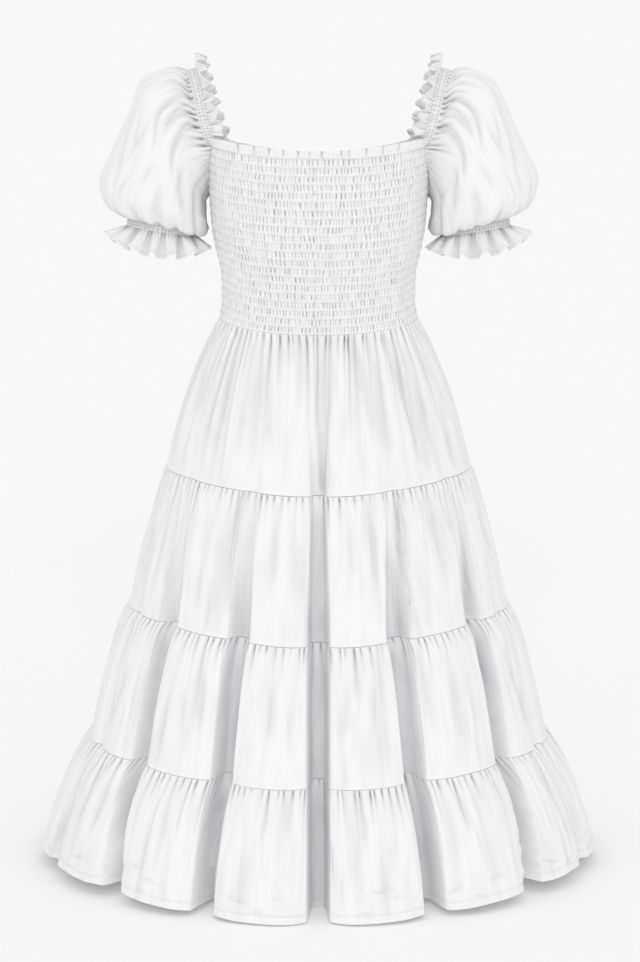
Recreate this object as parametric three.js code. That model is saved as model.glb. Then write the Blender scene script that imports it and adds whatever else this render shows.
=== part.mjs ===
// Tiered peasant dress in white cotton, filled out as when it is worn: a shirred bodice,
// puff sleeves on elastic bands, and a skirt of four gathered tiers.
// Millimetres, +Z up. The front faces -Y, and the origin lies midway between the shoulders.
import * as THREE from 'three';

// Cloth and seams
const clothWall = 1.5;
const seamGap = 0.3;
const clothColour = '#f4f3f1';
const bandColour = '#f0efec';

// A table's rows become objects with the column names as keys
function table(names, rows) {
  return rows.map((row) => Object.fromEntries(names.map((name, i) => [name, row[i]])));
}

// Rings of the body of the dress: height at the sides, half width, half depth, squareness of
// the outline, how far the middle of the front and of the back hang below the sides, and how
// closely that drop keeps to the middle
const ringNames = ['height', 'halfWidth', 'halfDepth', 'square', 'frontDip', 'backDip', 'dipCurve'];
const bodiceRings = table(ringNames, [
  [-101, 155, 107, 2.6, 14, 26, 2],
  [-172, 151, 111, 2.6, 14, 22, 2],
  [-212, 148, 111, 2.6, 14, 20, 2],
  [-246, 142.5, 107, 2.6, 14.5, 18, 2],
  [-282, 135, 100, 2.6, 15, 16.5, 2],
  [-322, 134.5, 95, 2.6, 15.5, 15.5, 2],
  [-342, 138.4, 95, 2.6, 15.5, 15.5, 2],
]);

// Rings of the four tiers, each from its top seam to its bottom seam, with the depth of the
// flutes, how far the cloth puffs out, and the height of the gathers there
const tierNames = [...ringNames, 'flute', 'puff', 'gather'];
const tierRings = [
  table(tierNames, [
    [-342, 138.4, 95, 2.6, 15.5, 15.5, 2, 0, 0, 0],
    [-352, 144, 100, 2.5, 15.5, 15.5, 2, 0, 1, 1.8],
    [-390, 164, 122, 2.3, 15, 15, 2.2, 0.5, 0, 1.4],
    [-470, 194, 152, 2.1, 15, 13.5, 2.6, 1.5, 0, 0.5],
    [-553, 216, 175, 2, 15, 12, 3, 3, 0, 0],
  ]),
  table(tierNames, [
    [-553, 216, 175, 2, 15, 12, 3, 3, 0, 0],
    [-562, 218, 177, 2, 15, 12, 3, 5, 3.5, 1.9],
    [-600, 232, 188, 2, 15.5, 12, 3.2, 12, 1, 1.1],
    [-680, 256, 204, 2, 16.5, 11, 3.6, 23, 0, 0.4],
    [-751, 272, 215, 2, 17, 10, 4, 32, 0, 0],
  ]),
  table(tierNames, [
    [-751, 272, 215, 2, 17, 10, 4, 32, 0, 0],
    [-762, 279, 220, 2, 17, 10, 4, 34, 2.5, 1.8],
    [-800, 295, 230, 2, 15.5, 9, 4, 39, 1, 1.2],
    [-880, 318, 247, 2, 13.5, 7, 4, 50, 0, 0.4],
    [-942, 332, 258, 2, 12, 5, 4, 58, 0, 0],
  ]),
  table(tierNames, [
    [-942, 332, 258, 2, 12, 5, 4, 58, 0, 0],
    [-953, 339, 264, 2, 12, 5, 4, 60, 3, 1.8],
    [-991, 363, 280, 2, 14, 7, 4, 65, 1, 1.2],
    [-1064, 392, 306, 2, 17, 10, 4, 73, 0, 0.4],
    [-1104, 402, 317, 2, 18, 11, 4, 76, 0, 0],
  ]),
];

// Flutes of the skirt: the turn of each valley from the middle of the front, in degrees, and
// its share of the full depth. The wearer's left comes first.
const flutes = table(['turn', 'share'], [
  [0, 1], [24, 0.88], [51.5, 0.74], [70, 0.14], [90, 0.28], [112, 0.62], [133, 0.7],
  [155.5, 0.8], [180, 0.93], [205, 0.75], [227, 0.7], [248, 0.6], [270, 0.28], [290, 0.14],
  [310, 0.74], [336, 0.88],
]);

// One flute across, from a valley to the next: place along it and share of the valley's depth
const fluteShape = table(['place', 'depth'], [
  [0.085, 1], [0.165, 0.34], [0.35, 0.04], [0.65, 0.04], [0.835, 0.34], [0.915, 1],
]);

// Shirring of the bodice: rows of elastic, and how far the cloth rises between two of them
const shirringRows = 21;
const shirringRise = 1.2;

// Neckline and armholes: turn of the corner where they meet, depth of the armhole at its
// lowest point, and the curve's squareness
const cornerTurn = 66.4;
const armholeBottom = -172;
const armholePower = 1.8;
const frontColumns = [0, 14, 27, 40, 54, cornerTurn, 71, 78, 85, 90];

// Gathered heading of the neckline
const neckFrill = { rise: 12.6, lean: 1.5, wave: 2.3, pleats: 12, endTurn: 54 };

// Centre line of a shoulder band from the front corner to the shoulder's top, wearer's right
const bandPath = table(['x', 'y', 'z'], [
  [-146, -52, -101.5], [-153, -59, -82], [-159, -59, -58], [-167, -44, -24], [-173, -22, -6],
  [-175, 0, 0],
]);
const bandWidth = 12;
const bandSteps = 24;
const bandTilt = { side: 0.22, down: 0.25 };

// Frill on the neck side of a shoulder band
const shoulderFrill = { width: 21, wave: 3.2, waves: 12, start: 0.07, leanEnd: 18, leanTop: 52 };

// Rings of a sleeve below the armhole: outermost and innermost point, and half depth
const sleeveRings = table(['topX', 'topZ', 'lowX', 'lowZ', 'halfDepth'], [
  [-202, 3.5, -158, -180, 70],
  [-239, -13, -158, -190, 79],
  [-262, -58, -157, -201, 84],
  [-287, -111, -156, -212, 83],
  [-304, -153, -156, -221, 79],
  [-297, -176, -159, -226, 71],
  [-266, -202, -169, -217, 48],
]);
const sleeveCornerTurn = 100;
const underarmSteps = 8;

// Folds of a sleeve that radiate from its band: column from the shoulder's top towards the
// front and back, depth, and how many rings they reach down
const sleeveFolds = table(['column', 'depth', 'reach'], [
  [1, 3, 3], [3, 4.5, 4], [5, 4, 3], [7, 5, 4], [9, 4.5, 5], [11, 5, 4],
]);

// Cuff band, a little tighter than the gathered end of the sleeve, and the frill below it
const cuffBand = { height: 11, steps: 28, tighter: 1 };
const cuffFrill = {
  outerFlare: 25, innerFlare: 19, drop: 19, frontDrop: 12, wave: 2.8, waves: 14, sway: 2.5,
};

// Vectors
const vec = (x, y, z) => new THREE.Vector3(x, y, z);
const mixNumber = (a, b, share) => a + (b - a) * share;
const toRadians = (degrees) => (degrees * Math.PI) / 180;
const toDegrees = (radians) => (radians * 180) / Math.PI;

function moved(point, direction, distance) {
  return point.clone().addScaledVector(direction, distance);
}

// A closed wall between an outer and an inner skin. Each skin is a list of columns that run
// down, in order from left to right as seen from outside. A round wall has no end edges, and
// a mirrored one is for the wearer's left.
function clothSolid(outer, inner, { round = false, mirror = false } = {}) {
  const points = [];
  const faces = [];
  const keep = (columns) => columns.map((column) => column.map((point) => points.push(point) - 1));

  // Triangles between two lines of points, taking the shorter diagonal at each step
  function strip(rightHand, leftHand) {
    let i = 0;
    let j = 0;
    while (i < rightHand.length - 1 || j < leftHand.length - 1) {
      const alongRight = i < rightHand.length - 1
        ? points[rightHand[i + 1]].distanceTo(points[leftHand[j]]) : Infinity;
      const alongLeft = j < leftHand.length - 1
        ? points[rightHand[i]].distanceTo(points[leftHand[j + 1]]) : Infinity;
      if (alongRight <= alongLeft) {
        faces.push([rightHand[i], rightHand[i + 1], leftHand[j]]);
        i += 1;
      } else {
        faces.push([rightHand[i], leftHand[j + 1], leftHand[j]]);
        j += 1;
      }
    }
  }

  const out = keep(outer);
  const into = keep(inner);
  if (round) {
    out.push(out[0]);
    into.push(into[0]);
  }
  for (let c = 0; c < out.length - 1; c += 1) {
    strip(out[c], out[c + 1]);
    strip(into[c + 1], into[c]);
  }
  const first = (columns) => columns.map((column) => column[0]);
  const last = (columns) => columns.map((column) => column[column.length - 1]);
  strip(first(out), first(into));
  strip(last(into), last(out));
  if (!round) {
    strip(into[0], out[0]);
    strip(out[out.length - 1], into[into.length - 1]);
  }

  const geometry = new THREE.BufferGeometry();
  const side = mirror ? -1 : 1;
  const flat = points.flatMap((point) => [side * point.x, point.y, point.z]);
  const order = faces.flatMap(([a, b, c]) => (mirror ? [a, c, b] : [a, b, c]));
  geometry.setAttribute('position', new THREE.Float32BufferAttribute(flat, 3));
  geometry.setIndex(order);
  geometry.computeVertexNormals();
  return geometry;
}

// Outward normals of a skin given as columns
function skinNormals(columns, round) {
  const count = columns.length;
  return columns.map((column, c) => {
    const before = round ? columns[(c + count - 1) % count] : columns[Math.max(c - 1, 0)];
    const after = round ? columns[(c + 1) % count] : columns[Math.min(c + 1, count - 1)];
    return column.map((point, r) => {
      const above = column[Math.max(r - 1, 0)];
      const below = column[Math.min(r + 1, column.length - 1)];
      const down = below.clone().sub(above);
      const across = after[r].clone().sub(before[r]);
      return down.cross(across).normalize();
    });
  });
}

// A skin moved in by the cloth's thickness along its normals
function innerSkin(columns, normals) {
  return columns.map((column, c) => (
    column.map((point, r) => moved(point, normals[c][r], -clothWall))
  ));
}

// Point of a ring at a turn from the middle of the front, on a rounded-square outline
function ringPoint(ring, turn) {
  const s = Math.sin(toRadians(turn));
  const c = Math.cos(toRadians(turn));
  const power = 2 / ring.square;
  const dip = c > 0 ? ring.frontDip : ring.backDip;
  return vec(
    ring.halfWidth * Math.sign(s) * Math.abs(s) ** power,
    -ring.halfDepth * Math.sign(c) * Math.abs(c) ** power,
    ring.height - dip * Math.abs(c) ** ring.dipCurve,
  );
}

// Level outward direction of a ring's outline at one of its points
function planNormal(ring, point) {
  const x = point.x / ring.halfWidth;
  const y = point.y / ring.halfDepth;
  const power = ring.square - 1;
  return vec(
    (Math.sign(x) * Math.abs(x) ** power) / ring.halfWidth,
    (Math.sign(y) * Math.abs(y) ** power) / ring.halfDepth,
    0,
  ).normalize();
}

// The ring between two rows of a table at a given height
function ringAt(rings, height) {
  const last = rings.length - 2;
  const found = rings.findIndex((ring, i) => i <= last && height >= rings[i + 1].height);
  const k = found < 0 ? last : found;
  const share = (height - rings[k].height) / (rings[k + 1].height - rings[k].height);
  const names = Object.keys(rings[k]);
  return Object.fromEntries(
    names.map((name) => [name, mixNumber(rings[k][name], rings[k + 1][name], share)]),
  );
}

// Height of the bodice's upper edge at a turn, as a height at the sides
function bodiceTop(turn) {
  const top = bodiceRings[0];
  const fromSide = Math.abs(Math.cos(toRadians(turn)));
  const corner = Math.cos(toRadians(cornerTurn));
  if (fromSide >= corner) return top.height;
  const share = (fromSide / corner) ** ((2 / top.square) * armholePower);
  return mixNumber(armholeBottom, top.height, share);
}

// Point of the bodice's upper edge at a turn, on the straight between two columns
function bodiceEdge(turn) {
  const half = Math.round(turn / 180) * 180;
  const fromMiddle = turn - half;
  const side = Math.sign(fromMiddle) || 1;
  const k = Math.max(1, frontColumns.findIndex((column) => column >= Math.abs(fromMiddle)));
  const [before, after] = [frontColumns[k - 1], frontColumns[k]];
  const share = (Math.abs(fromMiddle) - before) / (after - before);
  const [start, end] = [before, after].map((column) => {
    const columnTurn = half + side * column;
    return ringPoint(ringAt(bodiceRings, bodiceTop(columnTurn)), columnTurn);
  });
  return start.lerp(end, share);
}

// One bodice panel: shirring raised outside, plain inside
function bodicePanel(isBack) {
  const right = frontColumns.slice(1).reverse().map((turn) => -turn);
  const turns = [...right, ...frontColumns].map((turn) => turn + (isBack ? 180 : 0));
  const waist = bodiceRings[bodiceRings.length - 1].height;
  const pitch = (bodiceRings[0].height - waist) / shirringRows;
  const endShift = seamGap / 2;
  const outer = [];
  const inner = [];
  turns.forEach((turn, c) => {
    const atSide = c === 0 || c === turns.length - 1;
    const shift = atSide ? (isBack ? endShift : -endShift) : 0;
    const topHeight = bodiceTop(turn);
    const place = (height, rise) => {
      const ring = ringAt(bodiceRings, height);
      const point = ringPoint(ring, turn);
      const normal = planNormal(ring, point);
      point.addScaledVector(normal, rise);
      point.y += shift;
      return point;
    };
    const outerColumn = [place(topHeight, 0)];
    for (let half = 1; half < 2 * shirringRows; half += 1) {
      const height = bodiceRings[0].height - (half * pitch) / 2;
      const isCrest = half % 2 === 1;
      if (height < topHeight - pitch / 4) outerColumn.push(place(height, isCrest ? shirringRise : 0));
    }
    outerColumn.push(place(waist, 0));
    const innerColumn = [place(topHeight, -clothWall)];
    bodiceRings.slice(1).forEach((ring) => {
      if (ring.height < topHeight - pitch) innerColumn.push(place(ring.height, -clothWall));
    });
    outer.push(outerColumn);
    inner.push(innerColumn);
  });
  return clothSolid(outer, inner);
}

// Columns of a tier all round, from those of each flute: turn, share of the flute's depth
// there, and rise of the gather wave
function allRound(columnsOfFlute) {
  const columns = [];
  flutes.forEach((flute, f) => {
    const next = flutes[(f + 1) % flutes.length];
    const nextTurn = next.turn > flute.turn ? next.turn : next.turn + 360;
    columnsOfFlute(flute, next).forEach(({ place, valley, wave }) => {
      columns.push({ turn: mixNumber(flute.turn, nextTurn, place), valley, wave });
    });
  });
  return columns;
}

// The three lower tiers: six columns to a flute and four to a gather, and one on a side seam
function lowerTierColumns(flute, next) {
  const startsAtSeam = flute.turn === 90 || flute.turn === 270;
  const waves = flutes.indexOf(flute) % 2 ? [0, -1, 0, 1, 0, -1] : [0, 1, 0, -1, 0, 1];
  const columns = fluteShape.map(({ place, depth }, i) => (
    { place, valley: depth * (place < 0.5 ? flute.share : next.share), wave: waves[i] }
  ));
  return startsAtSeam ? [{ place: 0, valley: flute.share, wave: 0 }, ...columns] : columns;
}

// The top tier: three columns to a flute and two to a gather
function topTierColumns(flute) {
  const start = flutes.indexOf(flute) % 2 ? -1 : 1;
  return [0, 1, 2].map((i) => (
    { place: i / 3, valley: i ? 0 : flute.share, wave: i % 2 ? -start : start }
  ));
}

// Outer and inner points of one skirt ring all round
function skirtRing(ring, columns) {
  const points = columns.map(({ turn, valley, wave }) => {
    const point = ringPoint(ring, turn);
    const normal = planNormal(ring, point);
    return point.addScaledVector(normal, ring.puff + ring.gather * wave - ring.flute * valley);
  });
  const count = points.length;
  const inside = points.map((point, i) => {
    const before = point.clone().sub(points[(i + count - 1) % count]).setZ(0).normalize();
    const after = points[(i + 1) % count].clone().sub(point).setZ(0).normalize();
    const along = before.clone().add(after).normalize();
    const inward = vec(-along.y, along.x, 0);
    const miter = 1 / Math.max(0.5, Math.sqrt((1 + before.dot(after)) / 2));
    return moved(point, inward, clothWall * miter);
  });
  return { points, inside };
}

// Front or back half of a tier
function tierPanel(rings, columns, isBack) {
  const full = rings.map((ring) => skirtRing(ring, columns));
  const start = isBack ? 90 : -90;
  const order = columns
    .map(({ turn }, index) => ({ index, fromStart: (turn - start + 360) % 360 }))
    .filter(({ fromStart }) => fromStart <= 180)
    .sort((a, b) => a.fromStart - b.fromStart);
  const side = isBack ? 1 : -1;
  const skin = (name) => order.map(({ index }, c) => full.map((ring, r) => {
    const point = ring[name][index].clone();
    if (c === 0 || c === order.length - 1) point.y = (side * seamGap) / 2;
    if (r === 0) point.z -= seamGap;
    return point;
  }));
  return clothSolid(skin('points'), skin('inside'));
}

// Gathered heading above the neckline, front or back
function neckFrillPanel(isBack) {
  const { rise, lean, wave, pleats, endTurn } = neckFrill;
  const steps = pleats * 4;
  const base = bodiceRings[0];
  const outer = [];
  for (let i = 0; i <= steps; i += 1) {
    const turn = mixNumber(-endTurn, endTurn, i / steps) + (isBack ? 180 : 0);
    const foot = bodiceEdge(turn);
    const normal = planNormal(base, foot);
    const swing = Math.sin((i * Math.PI) / 2);
    const top = moved(foot, normal, lean + wave * swing);
    top.z += rise;
    foot.z += seamGap;
    outer.push([top, foot]);
  }
  const normals = skinNormals(outer, false);
  normals.forEach((column) => column.forEach((normal) => normal.setZ(0).normalize()));
  return clothSolid(outer, innerSkin(outer, normals));
}

// Frames along a shoulder band from the back corner over the shoulder to the front corner:
// place, direction along, direction out to the sleeve, and direction off the cloth
function bandFrames() {
  const front = bandPath.map(({ x, y, z }) => vec(x, y, z));
  const back = front.slice(0, -1).map((point) => vec(point.x, -point.y, point.z));
  const curve = new THREE.CatmullRomCurve3([...back, ...front.reverse()]);
  const frames = [];
  for (let i = 0; i <= bandSteps; i += 1) {
    const share = i / bandSteps;
    const place = curve.getPointAt(share);
    const along = curve.getTangentAt(share);
    const lean = bandTilt.side * (place.y / bandPath[1].y);
    const out = vec(-1, lean, -bandTilt.down);
    out.addScaledVector(along, -out.dot(along)).normalize();
    const off = out.clone().cross(along).normalize();
    frames.push({ share, place, along, out, off });
  }
  return frames;
}

const frames = bandFrames();

// Shoulder band
function shoulderBand(mirror) {
  const outer = frames.map(({ place, out }) => [
    moved(place, out, -bandWidth / 2), moved(place, out, bandWidth / 2),
  ]);
  const inner = frames.map(({ off }, c) => outer[c].map((point) => moved(point, off, -clothWall)));
  return clothSolid(outer, inner, { mirror });
}

// A frame between two of the band's frames
function frameAt(share) {
  const place = Math.min(share, 1) * bandSteps;
  const k = Math.min(Math.floor(place), bandSteps - 1);
  const between = (name) => frames[k][name].clone().lerp(frames[k + 1][name], place - k);
  return { place: between('place'), out: between('out').normalize(), off: between('off').normalize() };
}

// Frill on the neck side of the band
function shoulderFrillPiece(mirror) {
  const { width, wave, waves, start, leanEnd, leanTop } = shoulderFrill;
  const steps = waves * 4;
  const outer = [];
  for (let i = 0; i <= steps; i += 1) {
    const share = mixNumber(start, 1 - start, i / steps);
    const { place, out, off } = frameAt(share);
    const lean = toRadians(mixNumber(leanEnd, leanTop, Math.sin(Math.PI * share)));
    const away = out.clone().multiplyScalar(-Math.cos(lean)).addScaledVector(off, Math.sin(lean));
    const face = off.clone().multiplyScalar(Math.cos(lean)).addScaledVector(out, Math.sin(lean));
    const foot = moved(place, out, -bandWidth / 2 - seamGap);
    const tip = moved(foot, away, width).addScaledVector(face, wave * Math.sin((i * Math.PI) / 2));
    outer.push([tip, foot]);
  }
  const normals = skinNormals(outer, false);
  for (let i = 0; i <= steps; i += 1) {
    normals[i][1] = frameAt(mixNumber(start, 1 - start, i / steps)).off;
  }
  return clothSolid(outer, innerSkin(outer, normals), { mirror });
}

// Turn of each sleeve column: the band's columns, then the underarm's
function sleeveTurns() {
  const turns = [];
  for (let i = 0; i <= bandSteps; i += 1) {
    turns.push(mixNumber(-sleeveCornerTurn, sleeveCornerTurn, i / bandSteps));
  }
  for (let i = 1; i < underarmSteps; i += 1) {
    turns.push(mixNumber(sleeveCornerTurn, 360 - sleeveCornerTurn, i / underarmSteps));
  }
  return turns;
}

// Point of a sleeve ring at a turn from its outermost point, the front coming first
function sleevePoint(ring, turn) {
  const s = Math.sin(toRadians(turn));
  const c = Math.cos(toRadians(turn));
  return vec(
    (ring.topX + ring.lowX) / 2 + (c * (ring.topX - ring.lowX)) / 2,
    -s * ring.halfDepth,
    (ring.topZ + ring.lowZ) / 2 + (c * (ring.topZ - ring.lowZ)) / 2,
  );
}

// Point of the sleeve's upper edge along the bodice's armhole, just clear of it. The share
// runs from the front corner to the back corner.
function armholePoint(share) {
  const fromSide = mixNumber(1, -1, share) * Math.cos(toRadians(cornerTurn));
  const turn = -toDegrees(Math.acos(fromSide));
  const ring = ringAt(bodiceRings, bodiceTop(turn));
  const point = bodiceEdge(turn);
  const normal = planNormal(ring, point);
  point.addScaledVector(normal, 2 * seamGap);
  point.z += 3 * seamGap;
  return point;
}

// Puff sleeve from the armhole to the cuff
function sleevePiece(mirror) {
  const turns = sleeveTurns();
  const middle = bandSteps / 2;
  const outer = turns.map((turn, c) => {
    const edge = c <= bandSteps
      ? moved(frames[c].place, frames[c].out, bandWidth / 2 + seamGap)
      : armholePoint((c - bandSteps) / underarmSteps);
    const fold = sleeveFolds.find(({ column }) => column === Math.abs(c - middle));
    const rings = sleeveRings.map((ring, r) => {
      const point = sleevePoint(ring, turn);
      if (!fold || c > bandSteps || r >= fold.reach) return point;
      const centre = sleevePoint({ ...ring, halfDepth: 0 }, 90);
      const inward = centre.sub(point).normalize();
      return moved(point, inward, fold.depth * (1 - r / fold.reach));
    });
    return [edge, ...rings];
  });
  const normals = skinNormals(outer, true);
  frames.forEach(({ off }, c) => {
    normals[c][0] = off;
  });
  return clothSolid(outer, innerSkin(outer, normals), { round: true, mirror });
}

// Axis of the cuff, square to the sleeve's last ring and pointing down
const cuffRing = sleeveRings[sleeveRings.length - 1];
const cuffAxis = vec(cuffRing.lowZ - cuffRing.topZ, 0, cuffRing.topX - cuffRing.lowX).normalize();

function cuffPoint(turn, drop, flare) {
  const point = sleevePoint(cuffRing, turn);
  const centre = sleevePoint({ ...cuffRing, halfDepth: 0 }, 90);
  const away = point.clone().sub(centre).normalize();
  return point.addScaledVector(away, flare - cuffBand.tighter).addScaledVector(cuffAxis, drop);
}

// Elastic band at the cuff
function cuffBandPiece(mirror) {
  const { height, steps } = cuffBand;
  const outer = [];
  const inner = [];
  for (let i = 0; i < steps; i += 1) {
    const turn = (360 * i) / steps;
    outer.push([cuffPoint(turn, seamGap, 0), cuffPoint(turn, height, 0)]);
    inner.push([cuffPoint(turn, seamGap, -clothWall), cuffPoint(turn, height, -clothWall)]);
  }
  return clothSolid(outer, inner, { round: true, mirror });
}

// Frill below the cuff band
function cuffFrillPiece(mirror) {
  const { outerFlare, innerFlare, drop, frontDrop, wave, waves, sway } = cuffFrill;
  const steps = waves * 4;
  const top = cuffBand.height + seamGap;
  const outer = [];
  for (let i = 0; i < steps; i += 1) {
    const turn = (360 * i) / steps;
    const swing = Math.sin((i * Math.PI) / 2);
    const flare = mixNumber(innerFlare, outerFlare, (1 + Math.cos(toRadians(turn))) / 2);
    const fall = drop + frontDrop * Math.sin(toRadians(turn)) ** 2;
    outer.push([
      cuffPoint(turn, top, 0),
      cuffPoint(turn, top + fall * 0.45, flare * 0.55 + wave * 0.6 * swing),
      cuffPoint(turn, top + fall + sway * swing, flare + wave * swing),
    ]);
  }
  const normals = skinNormals(outer, true);
  outer.forEach((column, c) => {
    const centre = sleevePoint({ ...cuffRing, halfDepth: 0 }, 90).addScaledVector(cuffAxis, top);
    normals[c][0] = column[0].clone().sub(centre).normalize();
  });
  return clothSolid(outer, innerSkin(outer, normals), { round: true, mirror });
}

// The dress
const cloth = { roughness: 0.9, metalness: 0 };
const dress = new THREE.Group();

function add(name, geometry, colour = clothColour) {
  const mesh = new THREE.Mesh(geometry, new THREE.MeshStandardMaterial({ ...cloth, color: colour }));
  mesh.name = name;
  dress.add(mesh);
}

const fluteColumns = allRound(lowerTierColumns);
const topColumns = allRound(topTierColumns);
[['front', false], ['back', true]].forEach(([half, isBack]) => {
  add(`bodice_${half}`, bodicePanel(isBack));
  add(`neck_frill_${half}`, neckFrillPanel(isBack));
  tierRings.forEach((rings, k) => {
    add(`skirt_tier_${k + 1}_${half}`, tierPanel(rings, k === 0 ? topColumns : fluteColumns, isBack));
  });
});
[['right', false], ['left', true]].forEach(([hand, mirror]) => {
  add(`sleeve_${hand}`, sleevePiece(mirror));
  add(`shoulder_band_${hand}`, shoulderBand(mirror), bandColour);
  add(`shoulder_frill_${hand}`, shoulderFrillPiece(mirror));
  add(`cuff_band_${hand}`, cuffBandPiece(mirror), bandColour);
  add(`cuff_frill_${hand}`, cuffFrillPiece(mirror));
});

export default dress;
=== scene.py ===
import bpy
import numpy as np
from math import radians
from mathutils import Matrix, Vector


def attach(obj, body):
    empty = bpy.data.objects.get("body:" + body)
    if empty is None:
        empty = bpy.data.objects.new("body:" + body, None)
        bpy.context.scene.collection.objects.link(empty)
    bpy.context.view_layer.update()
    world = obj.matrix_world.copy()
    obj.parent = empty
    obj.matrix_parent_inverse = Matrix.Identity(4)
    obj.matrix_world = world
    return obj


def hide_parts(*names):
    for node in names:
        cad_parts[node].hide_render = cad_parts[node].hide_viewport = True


# White cotton peasant dress with a shirred bodice, puff sleeves and four gathered tiers.
# Everything is worked out in millimetres and put into the meshes in metres.
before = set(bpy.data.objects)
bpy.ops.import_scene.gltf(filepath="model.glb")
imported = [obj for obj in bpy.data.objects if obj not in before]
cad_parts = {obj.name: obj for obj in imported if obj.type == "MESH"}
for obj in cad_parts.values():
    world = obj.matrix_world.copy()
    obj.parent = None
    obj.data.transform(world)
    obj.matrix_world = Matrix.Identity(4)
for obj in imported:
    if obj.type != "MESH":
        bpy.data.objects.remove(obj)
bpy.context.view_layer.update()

# Camera at the photograph's height and tilt, looking along +Y
cameraView = {
    "place": (0.0021, -3.2, -0.0014),
    "tilt": 79.8,
    "lens": 85.47,
    "sensor": 36.0,
}
print("camera")
cameraData = bpy.data.cameras.new("camera")
cameraData.lens = cameraView["lens"]
cameraData.sensor_fit = "AUTO"
cameraData.sensor_width = cameraView["sensor"]
camera = bpy.data.objects.new("camera", cameraData)
camera.location = cameraView["place"]
camera.rotation_euler = (radians(cameraView["tilt"]), 0, 0)
bpy.context.collection.objects.link(camera)
bpy.context.scene.camera = camera

# The cut of the whole dress, shared by the pieces
cloth = {
    "wall": 0.9,          # cloth with its seam allowances, as it reads at an edge
    "seamGap": 0.3,
    "seed": 41,
    "sharpAngle": 62,     # degrees between two faces from which their edge is sharp
    "insideShade": 0.06,
}


def smoothBetween(low, high, value):
    # rises from 0 at low to 1 at high, with level ends
    t = np.clip((value - low) / (high - low), 0, 1)
    return t * t * (3 - 2 * t)


def mixed(a, b, share):
    # a at share 0 and b at share 1, in a straight line between
    return a + (b - a) * share


def bell(distance, width, power=2):
    # e to the power of -(distance / width)^power
    return np.exp(-(distance / width) ** power)


def lengthAlong(points, power=1):
    # running sum of the steps between points, each to a power
    return np.concatenate([[0], np.cumsum(np.linalg.norm(np.diff(points, axis=0), axis=1) ** power)])


def pointsAt(where, lengths, points):
    # points in a straight line between those of a path, at some lengths along it
    return np.stack([np.interp(where, lengths, points[:, k]) for k in range(3)], axis=-1)


def curveThrough(places, values, at):
    # monotone cubic through a table's rows: each slope is the harmonic mean of its neighbours
    places, values = np.asarray(places, float), np.asarray(values, float)
    gap = np.diff(places)
    rise = np.diff(values) / gap
    slope = np.concatenate([rise[:1], rise])
    same = rise[:-1] * rise[1:] > 0
    safe = np.where(rise == 0, 1, rise)
    wide, thin = 2 * gap[1:] + gap[:-1], 2 * gap[:-1] + gap[1:]
    slope[1:-1] = np.where(same, (wide + thin) / (wide / safe[:-1] + thin / safe[1:]), 0)
    k = np.clip(np.searchsorted(places, at, side="right") - 1, 0, len(places) - 2)
    t = (at - places[k]) / gap[k]
    low = (1 + 2 * t) * (1 - t) ** 2 * values[k] + t * (1 - t) ** 2 * gap[k] * slope[k]
    high = t * t * (3 - 2 * t) * values[k + 1] + t * t * (t - 1) * gap[k] * slope[k + 1]
    return low + high


def smoothNoise(seed, rows, columns, y, x):
    # a grid of random values from -1 to 1, read with smooth steps at y rows and x columns
    values = np.random.default_rng(seed).uniform(-1, 1, (rows + 1, columns + 1))
    y, x = np.broadcast_arrays(np.clip(y, 0, 1) * rows, np.clip(x, 0, 1) * columns)
    i = np.clip(np.floor(y).astype(int), 0, rows - 1)
    j = np.clip(np.floor(x).astype(int), 0, columns - 1)
    a, b = smoothBetween(0, 1, y - i), smoothBetween(0, 1, x - j)
    top = mixed(values[i, j], values[i, j + 1], b)
    return mixed(top, mixed(values[i + 1, j], values[i + 1, j + 1], b), a)


def gridNormals(points, isRound=False):
    # outward normals: down x across, for rows that run down and columns that run rightwards from outside
    down = np.gradient(points, axis=0)
    if isRound:
        across = np.roll(points, -1, axis=1) - np.roll(points, 1, axis=1)
    else:
        across = np.gradient(points, axis=1)
    normal = np.cross(down, across)
    return normal / np.maximum(np.linalg.norm(normal, axis=2, keepdims=True), 1e-9)


def gridFaces(rows, columns, start, isRound=False, isTurned=False):
    # quads of a grid, facing out when its rows run down and its columns run rightwards
    i, j = np.meshgrid(np.arange(rows - 1), np.arange(columns if isRound else columns - 1), indexing="ij")
    i, j = i.ravel(), j.ravel()
    k = (j + 1) % columns
    a, b = start + i * columns + j, start + i * columns + k
    c, d = a + columns, b + columns
    return np.stack([a, b, d, c] if isTurned else [a, c, d, b], axis=1)


def innerSkin(base, normal, push, innerRows):
    # the inner skin lies inside the deepest point of every fold near it
    deepest = np.maximum(-push, 0)
    need = np.zeros((len(innerRows), push.shape[1]))
    for k, (first, last) in enumerate(zip(innerRows[:-1], innerRows[1:])):
        block = deepest[first:last + 1].max(axis=0)
        need[k] = np.maximum(need[k], block)
        need[k + 1] = np.maximum(need[k + 1], block)
    for side in (-1, 1, -2, 2):
        need = np.maximum(need, np.roll(need, side, axis=1))
    return base[innerRows] - normal[innerRows] * (need + cloth["wall"])[..., None]


def addPiece(name, points, faces, material):
    # a mesh of points in mm, which rides on the dress
    mesh = bpy.data.meshes.new(name)
    mesh.from_pydata((points / 1000).tolist(), [], faces)
    mesh.polygons.foreach_set("use_smooth", np.ones(len(faces), bool))
    mesh.materials.append(material)
    piece = bpy.data.objects.new(name, mesh)
    bpy.context.collection.objects.link(piece)
    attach(piece, "root")
    print(name, len(mesh.polygons), "faces")
    return piece


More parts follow.
